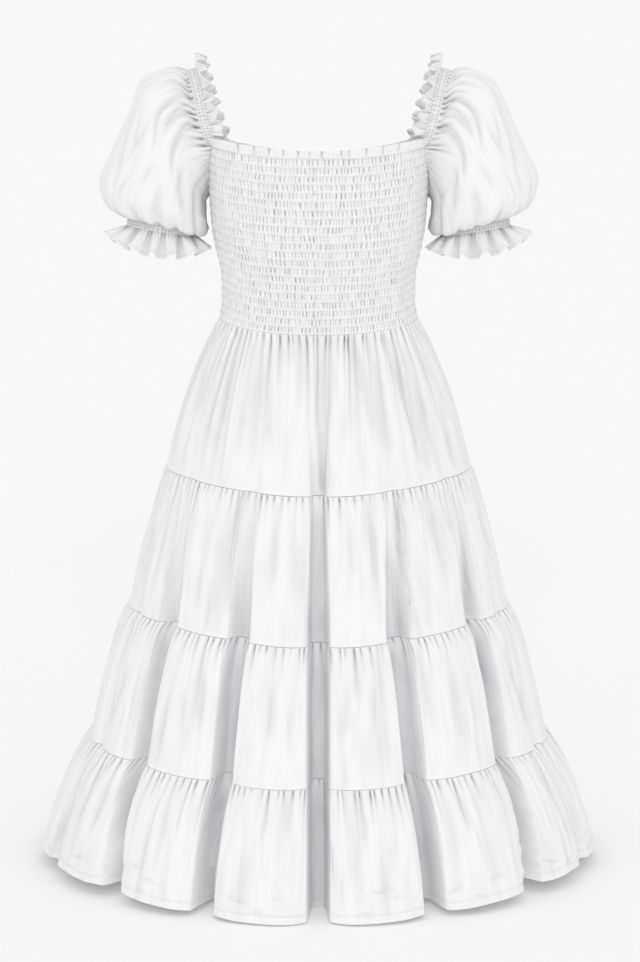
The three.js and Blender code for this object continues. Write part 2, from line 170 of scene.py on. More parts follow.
def clothShell(name, outer, inner, paintedShade, uv, material, slot="cotton", innerRows=None, isRound=False):
    # a closed wall of cloth: the outer grid, an inner skin on some of its rows, and the edges between, with
    # painted shade stored on its points
    rows, columns = outer.shape[:2]
    innerRows = np.arange(rows) if innerRows is None else innerRows
    points = np.concatenate([outer.reshape(-1, 3), inner.reshape(-1, 3)])
    start = rows * columns
    quads = [gridFaces(rows, columns, 0, isRound)]
    quads.append(gridFaces(len(innerRows), columns, start, isRound, isTurned=True))
    j = np.arange(columns if isRound else columns - 1)
    k = (j + 1) % columns
    lastOut, lastIn = (rows - 1) * columns, start + (len(innerRows) - 1) * columns
    quads.append(np.stack([j, k, start + k, start + j], axis=1))
    quads.append(np.stack([lastOut + k, lastOut + j, lastIn + j, lastIn + k], axis=1))
    triangles = []
    if not isRound:
        # side edges: a fan from each inner point to the outer points of its block of rows
        i = np.arange(rows - 1)
        block = np.searchsorted(innerRows, i, side="right") - 1
        edgeIn = start + np.arange(len(innerRows)) * columns
        turn = np.arange(len(innerRows) - 1)
        for column, isRight in ((0, False), (columns - 1, True)):
            a, b = i * columns + column, (i + 1) * columns + column
            c = edgeIn[block] + column
            triangles.append(np.stack([a, c, b] if not isRight else [a, b, c], axis=1))
            d, e = edgeIn[turn] + column, edgeIn[turn + 1] + column
            f = innerRows[turn + 1] * columns + column
            triangles.append(np.stack([d, e, f] if not isRight else [e, d, f], axis=1))
    faces = [face for group in quads + triangles for face in group.tolist()]
    piece = addPiece(name, points, faces, material)
    mesh = piece.data
    mesh.set_sharp_from_angle(angle=radians(cloth["sharpAngle"]))
    # painted shade per point: the given amounts on the outer grid, a little on the inner skin
    depth = np.full(len(points), cloth["insideShade"], np.float32)
    depth[:start] = np.clip(paintedShade, 0, 1).ravel()
    mesh.attributes.new("paintedShade", "FLOAT", "POINT").data.foreach_set("value", depth)
    place = np.concatenate([uv.reshape(-1, 2), uv[innerRows].reshape(-1, 2)]).astype(np.float32)
    corners = np.zeros(len(mesh.loops), np.int32)
    mesh.loops.foreach_get("vertex_index", corners)
    mesh.uv_layers.new(name="cloth").data.foreach_set("uv", place[corners].ravel())
    mesh.validate()
    return piece


def splineThrough(keys, values, at):
    # a smooth curve through points of uneven spacing: each tangent leans towards its nearer neighbour
    keys, values = np.asarray(keys, float), np.asarray(values, float)
    spread = (slice(None),) + (None,) * (values.ndim - 1)
    gap = np.diff(keys)[spread]
    rise = np.diff(values, axis=0) / gap
    slope = np.concatenate([rise[:1], rise])
    slope[1:-1] = (rise[:-1] * gap[1:] + rise[1:] * gap[:-1]) / (gap[:-1] + gap[1:])
    k = np.clip(np.searchsorted(keys, at, side="right") - 1, 0, len(keys) - 2)
    t = ((at - keys[k]) / np.diff(keys)[k])[spread]
    low = (1 + 2 * t) * (1 - t) ** 2 * values[k] + t * (1 - t) ** 2 * gap[k] * slope[k]
    high = t * t * (3 - 2 * t) * values[k + 1] + t * t * (t - 1) * gap[k] * slope[k + 1]
    return low + high


def unevenRows(length, spacing):
    # places down a length whose steps follow spacing(place)
    fine = np.linspace(0, length, 2000)
    total = np.concatenate([[0], np.cumsum(np.diff(fine) / spacing((fine[1:] + fine[:-1]) / 2))])
    return np.interp(np.linspace(0, total[-1], int(round(total[-1])) + 1), total, fine)


def mirrored(points):
    # the same grid for the wearer's left, with its columns turned round so that it still faces out
    return points[:, ::-1] * np.array([-1, 1, 1])


# White cotton: one weave and one tint shared by all the cloth, in UV metres over the pieces; the tint mixes
# painted shade into the creases
colours = {
    "lit": (0.872, 0.872, 0.877, 1),
    # a dark grey painted as shade into creases, slits and recesses
    "paintedShade": (0.3, 0.3, 0.315, 1),
    "thread": (0.8, 0.8, 0.8, 1),
}


def stretchedNoise(group, scale, detail):
    # noise over the cloth's UV metres, stretched by a scale for each direction
    tree = group.nodes
    place = tree.new("ShaderNodeUVMap")
    place.uv_map = "cloth"
    stretch = tree.new("ShaderNodeMapping")
    stretch.inputs["Scale"].default_value = (scale[0], scale[1], 1)
    noise = tree.new("ShaderNodeTexNoise")
    noise.inputs["Scale"].default_value = 1
    noise.inputs["Detail"].default_value = detail
    group.links.new(place.outputs["UV"], stretch.inputs["Vector"])
    group.links.new(stretch.outputs["Vector"], noise.inputs["Vector"])
    return noise.outputs["Fac"]


def bumpOver(group, height, strength, distance, below=None):
    # a bump of some height in metres, over another where one is given
    bump = group.nodes.new("ShaderNodeBump")
    bump.inputs["Strength"].default_value = strength
    bump.inputs["Distance"].default_value = distance
    group.links.new(height, bump.inputs["Height"])
    if below is not None:
        group.links.new(below, bump.inputs["Normal"])
    return bump.outputs["Normal"]


def calculated(group, kind, a, b):
    # a Math node on two sockets or numbers
    node = group.nodes.new("ShaderNodeMath")
    node.operation = kind
    for k, value in enumerate((a, b)):
        if isinstance(value, (int, float)):
            node.inputs[k].default_value = value
        else:
            group.links.new(value, node.inputs[k])
    return node.outputs["Value"]


weave = {
    "thread": {"scale": (2600, 2600), "strength": 0.25, "height": 0.00012, "rough": 0.12},
    "hand": {"scale": (75, 16), "strength": 0.4, "height": 0.0022, "shade": 0.22, "level": 0.55},
    "lineStrength": 0.6,
    "lineLevel": 0.5,
    "roughness": 0.8,
    "specular": 0.2,
    "sheen": 0.05,
}


def clothGroup(name, lines, lineHeight, lineShade):
    # painted shade from 0 (lit) to 1 (deep in a crease): the points' painted shade attribute, darker valleys
    # of the gathered lines and of the soft streaks; and the roughness and normal of one kind of cloth
    group = bpy.data.node_groups.new(name, "ShaderNodeTree")
    for socket, kind in (("Shade", "Float"), ("Roughness", "Float"), ("Normal", "Vector")):
        group.interface.new_socket(name=socket, in_out="OUTPUT", socket_type="NodeSocket" + kind)
    outside = group.nodes.new("NodeGroupOutput")
    paintedShadeNode = group.nodes.new("ShaderNodeAttribute")
    paintedShadeNode.attribute_name = "paintedShade"
    thread, hand = weave["thread"], weave["hand"]
    threads = stretchedNoise(group, thread["scale"], 1)
    handled = stretchedNoise(group, hand["scale"], 3)
    gathered = stretchedNoise(group, lines, 3)
    valley = calculated(group, "MAXIMUM", calculated(group, "SUBTRACT", weave["lineLevel"], gathered), 0)
    shade = calculated(group, "ADD", paintedShadeNode.outputs["Fac"], calculated(group, "MULTIPLY", valley, lineShade))
    soft = calculated(group, "SUBTRACT", hand["level"], handled)
    shade = calculated(group, "ADD", shade, calculated(group, "MULTIPLY", soft, hand["shade"]))
    shade = calculated(group, "MINIMUM", calculated(group, "MAXIMUM", shade, 0), 1)
    normal = bumpOver(group, threads, thread["strength"], thread["height"])
    normal = bumpOver(group, handled, hand["strength"], hand["height"], normal)
    normal = bumpOver(group, gathered, weave["lineStrength"], lineHeight, normal)
    rough = calculated(group, "MULTIPLY", threads, thread["rough"])
    rough = calculated(group, "ADD", rough, weave["roughness"])
    group.links.new(shade, outside.inputs["Shade"])
    group.links.new(rough, outside.inputs["Roughness"])
    group.links.new(normal, outside.inputs["Normal"])
    return group


def clothMaterial(name, group):
    # the shader, with the group's painted shade mixing the lit colour and the dark painted shade colour
    material = bpy.data.materials.new(name)
    material.use_nodes = True
    tree = material.node_tree
    shader = tree.nodes["Principled BSDF"]
    look = tree.nodes.new("ShaderNodeGroup")
    look.node_tree = group
    tint = tree.nodes.new("ShaderNodeMix")
    tint.data_type = "RGBA"
    tint.inputs[6].default_value = colours["lit"]
    tint.inputs[7].default_value = colours["paintedShade"]
    tree.links.new(look.outputs["Shade"], tint.inputs["Factor"])
    tree.links.new(tint.outputs[2], shader.inputs["Base Color"])
    tree.links.new(look.outputs["Roughness"], shader.inputs["Roughness"])
    tree.links.new(look.outputs["Normal"], shader.inputs["Normal"])
    shader.inputs["Specular IOR Level"].default_value = weave["specular"]
    shader.inputs["Sheen Weight"].default_value = weave["sheen"]
    return material


def simpleMaterial(name, colour, roughness=0.8):
    # one plain colour, for the thread
    material = bpy.data.materials.new(name)
    material.use_nodes = True
    shader = material.node_tree.nodes["Principled BSDF"]
    shader.inputs["Base Color"].default_value = colour
    shader.inputs["Roughness"].default_value = roughness
    return material


print("cloth")
# the last number of each is the painted shade in the valleys of its gathered lines
cottonCloth = clothMaterial("whiteCotton", clothGroup("plainWeaveAndShade", (140, 9), 0.001, 0.3))
shirredCloth = clothMaterial("shirredCotton", clothGroup("shirredWeaveAndShade", (560, 120), 0.0008, 0.9))
elasticCloth = clothMaterial("elasticCotton", clothGroup("elasticWeaveAndShade", (700, 160), 0.0008, 0.8))
stitchThread = simpleMaterial("sewingThread", colours["thread"])

# The body of the dress in rings: height at the sides, half width, half depth, squareness of
# the outline, how far the middle of the front and of the back hang below the sides, how closely
# that drop keeps to the middle, and how far the cloth puffs out
bodiceRings = np.array([
    (-101, 155, 107, 2.6, 17.5, 26, 2, 0),
    (-172, 151, 111, 2.6, 16.5, 22, 2, 0),
    (-212, 148, 111, 2.6, 16, 20, 2, 0),
    (-246, 142.5, 107, 2.6, 15.5, 18, 2, 0),
    (-282, 135, 100, 2.6, 15.5, 16.5, 2, 0),
    (-322, 134.5, 95, 2.6, 15.5, 15.5, 2, 0),
    (-342, 138.4, 95, 2.6, 15.5, 15.5, 2, 0),
])
tierRings = [np.array(rows) for rows in (
    [
        (-342, 138.4, 95, 2.6, 15.5, 15.5, 2, 0),
        (-352, 144, 100, 2.5, 15.5, 15.5, 2, 1),
        (-390, 164, 122, 2.3, 15, 15, 2.2, 0),
        (-470, 194, 152, 2.1, 15, 13.5, 2.6, 0),
        (-553, 216, 175, 2, 15, 12, 3, 0),
    ],
    [
        (-553, 216, 175, 2, 15, 12, 3, 0),
        (-562, 218, 177, 2, 15, 12, 3, 3.5),
        (-600, 232, 188, 2, 15.5, 12, 3.2, 1),
        (-680, 256, 204, 2, 16.5, 11, 3.6, 0),
        (-751, 272, 215, 2, 17, 10, 4, 0),
    ],
    [
        (-751, 272, 215, 2, 17, 10, 4, 0),
        (-762, 279, 220, 2, 17, 10, 4, 2.5),
        (-800, 295, 230, 2, 15.5, 9, 4, 1),
        (-880, 318, 247, 2, 13.5, 7, 4, 0),
        (-942, 332, 258, 2, 12, 5, 4, 0),
    ],
    [
        (-942, 332, 258, 2, 12, 5, 4, 0),
        (-953, 339, 264, 2, 12, 5, 4, 3),
        (-991, 363, 280, 2, 14, 7, 4, 1),
        (-1064, 392, 306, 2, 17, 10, 4, 0),
        (-1104, 402, 317, 2, 18, 11, 4, 0),
    ],
)]


def ringValues(rings, height):
    # every column of a ring table at some heights, as arrays of one column each
    names = ["height", "halfWidth", "halfDepth", "square", "frontDip", "backDip", "dipCurve", "puff"]
    return {
        name: curveThrough(-rings[:, 0], rings[:, k], -height) for k, name in enumerate(names)
    }


def ringPoints(ring, turn):
    # points of rounded-square rings, at turns in degrees from the middle of the front, and their
    # level outward direction
    s, c = np.sin(np.radians(turn)), np.cos(np.radians(turn))
    power = 2 / ring["square"]
    x = np.sign(s) * np.abs(s) ** power
    y = -np.sign(c) * np.abs(c) ** power
    dip = np.where(c > 0, ring["frontDip"], ring["backDip"])
    drop = dip * np.abs(c) ** ring["dipCurve"]
    points = np.stack([ring["halfWidth"] * x, ring["halfDepth"] * y, ring["height"] - drop], axis=-1)
    slopeX = np.sign(x) * np.abs(x) ** (ring["square"] - 1) / ring["halfWidth"]
    slopeY = np.sign(y) * np.abs(y) ** (ring["square"] - 1) / ring["halfDepth"]
    size = np.sqrt(slopeX ** 2 + slopeY ** 2)
    out = np.stack([slopeX / size, slopeY / size, np.zeros_like(slopeX)], axis=-1)
    return points, out


# Bodice: rows of elastic with the cloth rising between them, and fine gathers along each row
bodice = {
    "rows": 21,
    "rise": 1.2,              # of the cloth between two lines of elastic
    "gathers": 84,            # across the front
    "cell": (-0.3, -0.1, 0, 0.1, 0.3),    # columns of one gather about its slit
    "stepsPerRow": 6,
    "depth": 2.2,             # of a slit
    "slitWidth": 0.13,        # in gathers
    "slitEnds": 0.12,         # share of a slit's depth at the elastic
    "slitShade": 0.8,
    "strengths": (0.25, 1.1),
    "shift": 0.4,             # how far all slits of a row, and each alone, stray and slant, in gathers
    "stray": 0.45,
    "slant": 0.3,
    "ridge": 0.6,
    "ridgeWidth": 0.08,       # in rows, as the groove's place
    "groove": 0.6,
    "groovePlace": 0.17,
    "grooveShade": 0.14,
    "waver": 1.2,
    "inside": 1.5,
    "innerRows": 12,
    "cornerTurn": 66.4,
    "armholeBottom": -172,
    "armholePower": 1.8,
    "evenBelow": -212,
    "knotPlace": -6.6,        # mm from the middle of the front
    "knotWidth": 1.5,
    "knotRise": 2,
    "knotShade": 0.42,
}


def bodiceTop(turn):
    # height of the upper edge: the neckline between the corners, and the armhole's curve beside them
    fromSide = np.abs(np.cos(np.radians(turn)))
    corner = np.cos(radians(bodice["cornerTurn"]))
    share = np.minimum(fromSide / corner, 1) ** ((2 / bodiceRings[0, 3]) * bodice["armholePower"])
    return mixed(bodice["armholeBottom"], bodiceRings[0, 0], share)


def bodicePanel(name, isBack):
    # a half, from the wearer's right side to the left on the front: its rings move out by
    # rise * sin(pi * between) and in by depth * strength * bell(distance to a slit)
    middle = 180 if isBack else 0
    seed = cloth["seed"] + isBack
    rows, count, each = bodice["rows"], bodice["gathers"], bodice["stepsPerRow"]
    fine = np.degrees(np.arcsin(np.sin(np.linspace(-np.pi / 2, np.pi / 2, 4001)) ** 3)) + middle
    bust = ringPoints(ringValues(bodiceRings, np.full((1, 1), bodice["evenBelow"])), fine[None])[0][0]
    around = lengthAlong(bust)
    cell = np.array(bodice["cell"])
    gather = np.concatenate([[0], (np.arange(count)[:, None] + 0.5 + cell).ravel(), [count]])[None]
    across = gather / count
    turnColumn = np.interp(across[0], around / around[-1], fine)[None]

    waist, neck, even = bodiceRings[-1, 0], bodiceRings[0, 0], bodice["evenBelow"]
    pitch = (neck - waist) / rows
    upperRows = int(round((neck - even) / pitch * each))
    lowerRows = int(round((even - waist) / pitch * each))
    upper = mixed(bodiceTop(turnColumn), even, np.linspace(0, 1, upperRows, endpoint=False)[:, None])
    lower = np.linspace(even, waist, lowerRows + 1)[:, None] + 0 * turnColumn
    height = np.concatenate([upper, lower])
    level = (neck - height) / pitch
    row = np.clip(np.floor(level).astype(int), 0, rows - 1)
    between = level - row

    # slits: each row's own strengths, with a shift, a slant and a stray that meet at the elastic
    random = np.random.default_rng(seed)
    shift = random.uniform(-bodice["shift"], bodice["shift"], rows)
    slant = random.uniform(-bodice["slant"], bodice["slant"], rows)
    strengths = random.uniform(*bodice["strengths"], (rows, count)) ** 0.9
    group = smoothNoise(seed + 5, 11, 17, np.arange(rows)[:, None] / rows, np.arange(count)[None] / count)
    strengths = strengths * (0.9 + 0.2 * group)
    nearest = np.clip(np.floor(gather).astype(int), 0, count - 1)
    apart = gather - nearest - 0.5

    def strayIn(which):
        # how far each gather strays in one row, in gathers
        which = np.clip(which, 0, rows - 1)
        return shift[which] + bodice["stray"] * smoothNoise(seed + 3, rows, 46, which / rows, across)

    own = strayIn(row) + slant[row] * (between - 0.5)
    moved = mixed(own, strayIn(row + 1), smoothBetween(0.88, 1.12, between))
    above = mixed(strayIn(row - 1), own, smoothBetween(-0.12, 0.12, between))
    moved = np.where(between < 0.12, above, moved)
    pinned = np.minimum(1, 14 * np.minimum(across, 1 - across))
    turn = np.interp((gather + moved * pinned) / count, around / around[-1], fine)
    bulge = np.sin(np.pi * between) ** 0.9
    slit = strengths[row, nearest + 0 * row] * bell(apart, bodice["slitWidth"])
    slit = slit * (bodice["slitEnds"] + (1 - bodice["slitEnds"]) * bulge ** 1.5)
    slit = slit * smoothBetween(0, 3, height - waist)

    # knots of the elastic's tied ends, down a line that sways
    fromMiddle = np.interp(turn, fine, around) - around[-1] / 2
    sway = 0.9 * np.sin(level * 1.7) + 0.6 * np.sin(level * 3.9)
    knotAcross = (fromMiddle - bodice["knotPlace"] - sway) / bodice["knotWidth"]
    knot = bell(knotAcross, 1) * (0.5 + 0.5 * np.sin(level * 4.1 + 2 * np.sin(level * 1.3)))
    knot = knot * (0 if isBack else 1)
    knotShade = bell(knotAcross - 0.6, 0.7) * np.maximum(np.sin(level * 5.2 + 2 * np.sin(level * 0.9)), 0)

    knotRise = bodice["knotRise"] * knot * np.cos(np.pi * between) ** 2
    rise = bodice["rise"] * bulge * (1 - 0.5 * knot) + knotRise
    rise = rise * smoothBetween(0, 0.35, np.abs(level)) + 0.25 * smoothNoise(9, 14, 22, level / rows, across)
    groove = bodice["groove"] * bell(between - bodice["groovePlace"], bodice["ridgeWidth"])
    groove = groove - bodice["ridge"] * bell(np.minimum(between, 1 - between), bodice["ridgeWidth"])
    push = rise - bodice["depth"] * slit - groove * smoothBetween(0, 2, height - waist)
    base, out = ringPoints(ringValues(bodiceRings, height), turn)
    outer = base + out * push[..., None]
    # the rows of elastic run a little unevenly
    waver = smoothBetween(0, 2, level) * smoothBetween(rows, rows - 1.5, level)
    outer[..., 2] += bodice["waver"] * waver * smoothNoise(seed + 15, 14, 15, level / rows, across)
    innerRows = np.unique(np.linspace(0, len(height) - 1, bodice["innerRows"]).astype(int))
    inner = (base - out * bodice["inside"])[innerRows]
    for grid in (outer, inner):
        grid[:, [0, -1], 1] = cloth["seamGap"] / 2 * (1 if isBack else -1)
    uv = np.stack([across * around[-1] / 1000 + 0 * height, -height / 1000], axis=-1)
    # painted shade in the slits, along the groove beside each row of elastic and beside the tied knots
    paintedShade = slit * bodice["slitShade"] + bodice["grooveShade"] * bell(between - bodice["groovePlace"], 0.09)
    paintedShade = paintedShade + (0 if isBack else bodice["knotShade"]) * knotShade
    return clothShell(name, outer, inner, paintedShade, uv, shirredCloth, "shirred_cotton", innerRows)


bodiceFront = bodicePanel("bodice_front_shirring", False)
bodiceBack = bodicePanel("bodice_back_shirring", True)

# Skirt: flutes that run through the tiers, gathers below every seam, long folds and fine streaks
skirt = {
    "floorWidth": (10, 14),   # half width of a flute's floor, at tier 2's top and from its bottom on
    "floorPower": 8,
    "shoulderWidth": 30,
    "shoulderShare": 0.23,
    "recessShade": 0.31,
    "cell": (-0.3, -0.12, 0, 0.12, 0.3),     # columns of one gather about its slit
    "gatherPitch": [8.4, 9.4, 10, 10.6],     # tier by tier, as the next two
    "gatherDepth": [2.8, 3.5, 3.8, 4],
    "gatherLength": [40, 14, 13, 13],
    "gatherStray": 0.34,      # of a gather
    "gatherLean": 1.5,
    "slitWidth": (0.85, 2.1),     # half width at the seam, and what it gains as it fades
    "puff": 0.8,
    "streakDepth": 3.1,
    "streakLength": (18, 70),
    "streakWidth": (1.7, 6),
    "streaks": (120, 50),     # on tier 1, and more on each next tier
    "innerPlaces": (0, 3, 8, 16, 30, 50, 75, 100, 125, 150),
    "hemLine": 10,            # height of the stitch line above the edge
    "hemSag": 2.2,
}
# each flute's turn at three seams and the hem, and its depth at seven heights
fluteTurnHeights = (-553, -751, -942, -1104)
fluteDepthHeights = (-390, -470, -553, -620, -751, -942, -1104)
flutes = [
    ((0, 0, 0, 0), (1, 5, 16, 26, 38, 58, 76)),
    ((27.5, 23.8, 24, 23.8), (0, 1, 5, 12, 28, 52, 68)),
    ((56, 53.5, 52.1, 49), (0, 0, 3, 8, 22, 42, 56)),
    ((70, 70, 70, 70), (0, 0, 0, 1, 4, 8, 10)),
    ((90, 90, 90, 90), (0, 0, 0, 2, 8, 16, 22)),
    ((112, 112, 112, 112), (0, 0, 1, 6, 18, 36, 48)),
    ((133, 133, 133, 133), (0, 0, 2, 8, 20, 40, 54)),
    ((156, 156, 155.5, 155.5), (0, 1, 4, 10, 24, 46, 62)),
    ((180, 180, 180, 180), (0, 2, 7, 14, 28, 54, 72)),
    ((204, 204, 205, 205), (0, 1, 4, 9, 22, 42, 58)),
    ((227, 227, 227, 227), (0, 0, 2, 8, 20, 40, 54)),
    ((248, 248, 248, 248), (0, 0, 1, 6, 18, 35, 46)),
    ((270, 270, 270, 270), (0, 0, 0, 2, 8, 16, 22)),
    ((290, 290, 290, 290), (0, 0, 0, 1, 4, 8, 10)),
    ((304.5, 309.7, 310, 313.9), (0, 0, 3, 8, 22, 42, 56)),
    ((335, 336, 336, 336.4), (0, 1, 5, 12, 28, 52, 68)),
]


def reachAt(halfWidth, halfDepth, turn):
    # mm along a ring for a radian of turn
    return np.sqrt((halfWidth * np.cos(np.radians(turn))) ** 2 + (halfDepth * np.sin(np.radians(turn))) ** 2)


def skirtBase(rings, height, turn):
    # rings pushed in along each flute by depth * (flat floor of bell power 8, mixed with a soft bell); also
    # the flutes' floors as a mask for painted shade
    ring = ringValues(rings, height)
    points, out = ringPoints(ring, turn)
    push, recess = 0, 0
    turnsAt, depthsAt = -np.array(fluteTurnHeights), -np.array(fluteDepthHeights)
    for turns, depths in flutes:
        floor = curveThrough(turnsAt, turns, np.clip(-height, turnsAt[0], turnsAt[-1]))
        depth = curveThrough(depthsAt, depths, np.maximum(-height, depthsAt[0]))
        depth = depth * smoothBetween(-tierRings[0][0, 0], depthsAt[0], -height)
        apart = (turn - floor + 180) % 360 - 180
        distance = np.abs(np.radians(apart) * reachAt(ring["halfWidth"], ring["halfDepth"], floor))
        floorWidth = mixed(*skirt["floorWidth"], smoothBetween(turnsAt[0], turnsAt[1], -height))
        floorShape = bell(distance, floorWidth, skirt["floorPower"])
        recess = recess + floorShape * (smoothBetween(2, 26, depth) - 0.2 * smoothBetween(30, 70, depth))
        shoulder = bell(distance, skirt["shoulderWidth"])
        push = push + depth * mixed(floorShape, shoulder, skirt["shoulderShare"])
    return points + out * (ring["puff"] - push)[..., None], out, recess


def troughs(table, turn, down, length, reach):
    # soft valleys, depth * bell(distance to a bent path): a row gives the shares of the height where
    # it starts and ends, its turn at the start, middle and end, its depth and half width in mm, how
    # much steeper its right side is, and its strength at either end
    total = np.zeros(np.broadcast_shapes(turn.shape, down.shape))
    place = down / length
    for place1, place2, turn1, turn2, turn3, depth, width, bias, start, end in table:
        t = (place - place1) / (place2 - place1)
        inside = np.clip(t, 0, 1)
        path = turn1 * (1 - inside) * (1 - 2 * inside) + 4 * turn2 * inside * (1 - inside)
        path = path + turn3 * inside * (2 * inside - 1)
        distance = np.radians(turn - path) * reach
        half = width * np.where(distance < 0, 1 + 0.6 * bias, 1 - 0.6 * bias)
        strength = mixed(start, 1, smoothBetween(0, 0.4, inside))
        strength = strength * mixed(end, 1, smoothBetween(0, 0.4, 1 - inside))
        beyond = bell((t - inside) * (place2 - place1) * length, 7)
        total += -depth * strength * beyond * bell(distance, half)
    return total


def streaks(seed, count, turn, down, length, reach):
    # faint long ridges and valleys of uneven size, each depth * bell(across) * bell(along)
    random = np.random.default_rng(seed)
    total = np.zeros(np.broadcast_shapes(turn.shape, down.shape))
    middleTurn = random.uniform(-90, 90, count)
    middle = random.uniform(0.1, 0.9, count) * length
    long, wide = random.uniform(*skirt["streakLength"], count), random.uniform(*skirt["streakWidth"], count)
    depth = random.uniform(-1, 0.7, count) * skirt["streakDepth"]
    lean = random.normal(0, 0.035, count)
    for k in range(count):
        distance = np.radians(turn - middleTurn[k]) * reach - lean[k] * (down - middle[k])
        total += depth[k] * np.exp(-(distance / wide[k]) ** 2 - ((down - middle[k]) / long[k]) ** 2)
    return total


def tierPanel(tier, isBack, folds, hemCreases=()):
    # half of a tier between the side seams: its fluted rings, moved along their normals by
    # puffs - depth * slits + folds + streaks, which fade out on the flutes' steep walls
    rings = tierRings[tier]
    top, bottom = rings[0, 0], rings[-1, 0]
    length = top - bottom
    isHem = tier == 3
    middle = 180 if isBack else 0
    random = np.random.default_rng(cloth["seed"] + 10 * tier + isBack)

    def spacing(place):
        # mm to the next row: close by the ends, wide between
        fromTop = np.clip(0.8 + 0.13 * place, 0.8, 5.5)
        fromBottom = np.clip(0.9 + (0.06 if isHem else 0.2) * (length - place), 0.9, 5.5)
        return np.minimum(fromTop, fromBottom)

    down = unevenRows(length, spacing)[:, None]
    fromEdge = length - down
    fine = np.linspace(-90, 90, 6001) + middle
    along = lengthAlong(skirtBase(rings, np.full((1, 1), float(top)), fine[None])[0][0])
    pitch = skirt["gatherPitch"][tier]
    count = int(round(along[-1] / pitch))
    knots = np.arange(count + 1)
    stray = random.uniform(-skirt["gatherStray"], skirt["gatherStray"], count + 1)
    places = (knots + np.where((knots > 0) & (knots < count), stray, 0)) / count
    gather = np.concatenate([[0], (knots[1:-1, None] + np.array(skirt["cell"])).ravel(), [count]])
    seamPlace = np.interp(gather, knots, places) * along[-1]
    nearest = np.clip(np.round(gather).astype(int), 0, count)
    lean = np.interp(gather, knots, random.normal(0, skirt["gatherLean"], count + 1))
    lean = lean * np.sin(np.pi * gather / count)
    turn = np.interp(seamPlace + lean * smoothBetween(0, 45, down) * np.exp(-down / 90), along, fine)
    height = top - down
    base, out, recess = skirtBase(rings, height + 0 * turn, turn)
    reach = reachAt(rings[2, 1], rings[2, 2], turn)

    # slits below the seam: uneven in depth and length, each wider as it fades
    depth = (skirt["gatherDepth"][tier] * random.uniform(0.45, 1.2, count + 1))[nearest][None]
    fade = (skirt["gatherLength"][tier] * random.uniform(0.4, 1.5, count + 1) ** 2)[nearest][None]
    apart = (gather - nearest)[None] * pitch
    faded = np.clip(down / fade, 0, 1.2)
    slit = bell(apart, skirt["slitWidth"][0] + skirt["slitWidth"][1] * faded) * bell(down, fade, 1.25)
    seamStart = smoothBetween(0.3, 3.2, down)
    puff = skirt["puff"] * np.cos(2 * np.pi * (gather - nearest))[None] * -1 * bell(down, fade, 1.5)
    pressed = 1 - 0.55 * smoothBetween(20, 4, fromEdge) if isHem else smoothBetween(3, 16, fromEdge)
    turnFromMiddle = turn - middle
    long = troughs(folds, turnFromMiddle, down, length, reach)
    streakCount = skirt["streaks"][0] + skirt["streaks"][1] * tier
    faint = streaks(cloth["seed"] + 7 * tier + isBack, streakCount, turnFromMiddle, down, length, reach)
    push = -depth * slit * seamStart + puff * seamStart
    push = push + (long + faint) * pressed * smoothBetween(0, 10, down)
    push = push - 0.6 * bell(down, 1.2)
    # painted shade: thin lines down the slits, their mouths at the seam, the fold valleys (a little less on
    # ridges) and the flutes' recesses
    thin = bell(apart, 0.8 + 0.9 * faded) * bell(down, fade, 0.9)
    mouth = bell(apart, 1.15) * np.exp(-down / 6) * seamStart
    paintedShade = depth * (thin / 3.9 + 0.11 * mouth) + np.clip(-(long + faint) / 30, -0.06, 0.16)
    paintedShade = paintedShade + skirt["recessShade"] * recess * mixed(0.5, 1, smoothBetween(0, 45, down))
    if isHem:
        # puckers, the groove of the stitch line and small creases
        line = fromEdge - skirt["hemLine"]
        pucker = smoothNoise(cloth["seed"] + 60 + isBack, 3, 260, fromEdge / 40, gather[None] / count)
        crinkled = crinkles(hemCreases, turnFromMiddle, fromEdge, reach)
        push = push + pucker * bell(fromEdge - 6, 9)
        push = push - 0.55 * bell(line, 0.9) + 0.35 * (line < -0.7)
        push = push + crinkled
        # painted shade along the stitch line's groove and in the dips of the creases
        paintedShade = paintedShade + 0.14 * bell(line, 1) + np.clip(-crinkled / 15, 0, 0.15)
    normal = gridNormals(base)
    push = push * smoothBetween(0.45, 0.9, (normal * out).sum(axis=2))
    outer = base + normal * push[..., None]
    innerPlaces = [*skirt["innerPlaces"], length - 8, length]
    innerRows = np.unique(np.clip(np.searchsorted(down[:, 0], innerPlaces), 0, len(down) - 1))
    inner = innerSkin(base, normal, push, innerRows)
    if isHem:
        # the edge hangs a little unevenly
        sag = skirt["hemSag"] * smoothNoise(cloth["seed"] + 64 + isBack, 1, 34, 0.5, gather / count)
        for grid, above in ((outer, fromEdge), (inner, fromEdge[innerRows])):
            grid[..., 2] += sag[None] * bell(above, 40)
    for grid in (outer, inner):
        grid[:, [0, -1], 1] = cloth["seamGap"] / 2 * (1 if isBack else -1)
        if tier > 0:
            grid[0] -= np.array([0, 0, cloth["seamGap"]])
    uv = np.stack([seamPlace / 1000 + 0 * down, (-height + 0 * turn) / 1000], axis=-1)
    name = f"tier_{tier + 1}_{'back' if isBack else 'front'}_cloth"
    piece = clothShell(name, outer, inner, paintedShade, uv, cottonCloth, innerRows=innerRows)
    print("  seam", round(along[-1]), "bottom edge", round(lengthAlong(outer[-1])[-1]))
    return piece, outer, down[:, 0]


def crinkles(table, turn, fromEdge, reach):
    # short level creases near the hem, each a ridge over a dip: rows as in frontCreases
    total = np.zeros(np.broadcast_shapes(turn.shape, fromEdge.shape))
    for middleTurn, above, long, depth, slope in table:
        along = np.radians(turn - middleTurn) * reach
        across = fromEdge - above - slope * along
        total += 1.5 * depth * bell(along, 0.6 * long) * (bell(across - 1.7, 1.7) - bell(across + 1.3, 1.7))
    return total


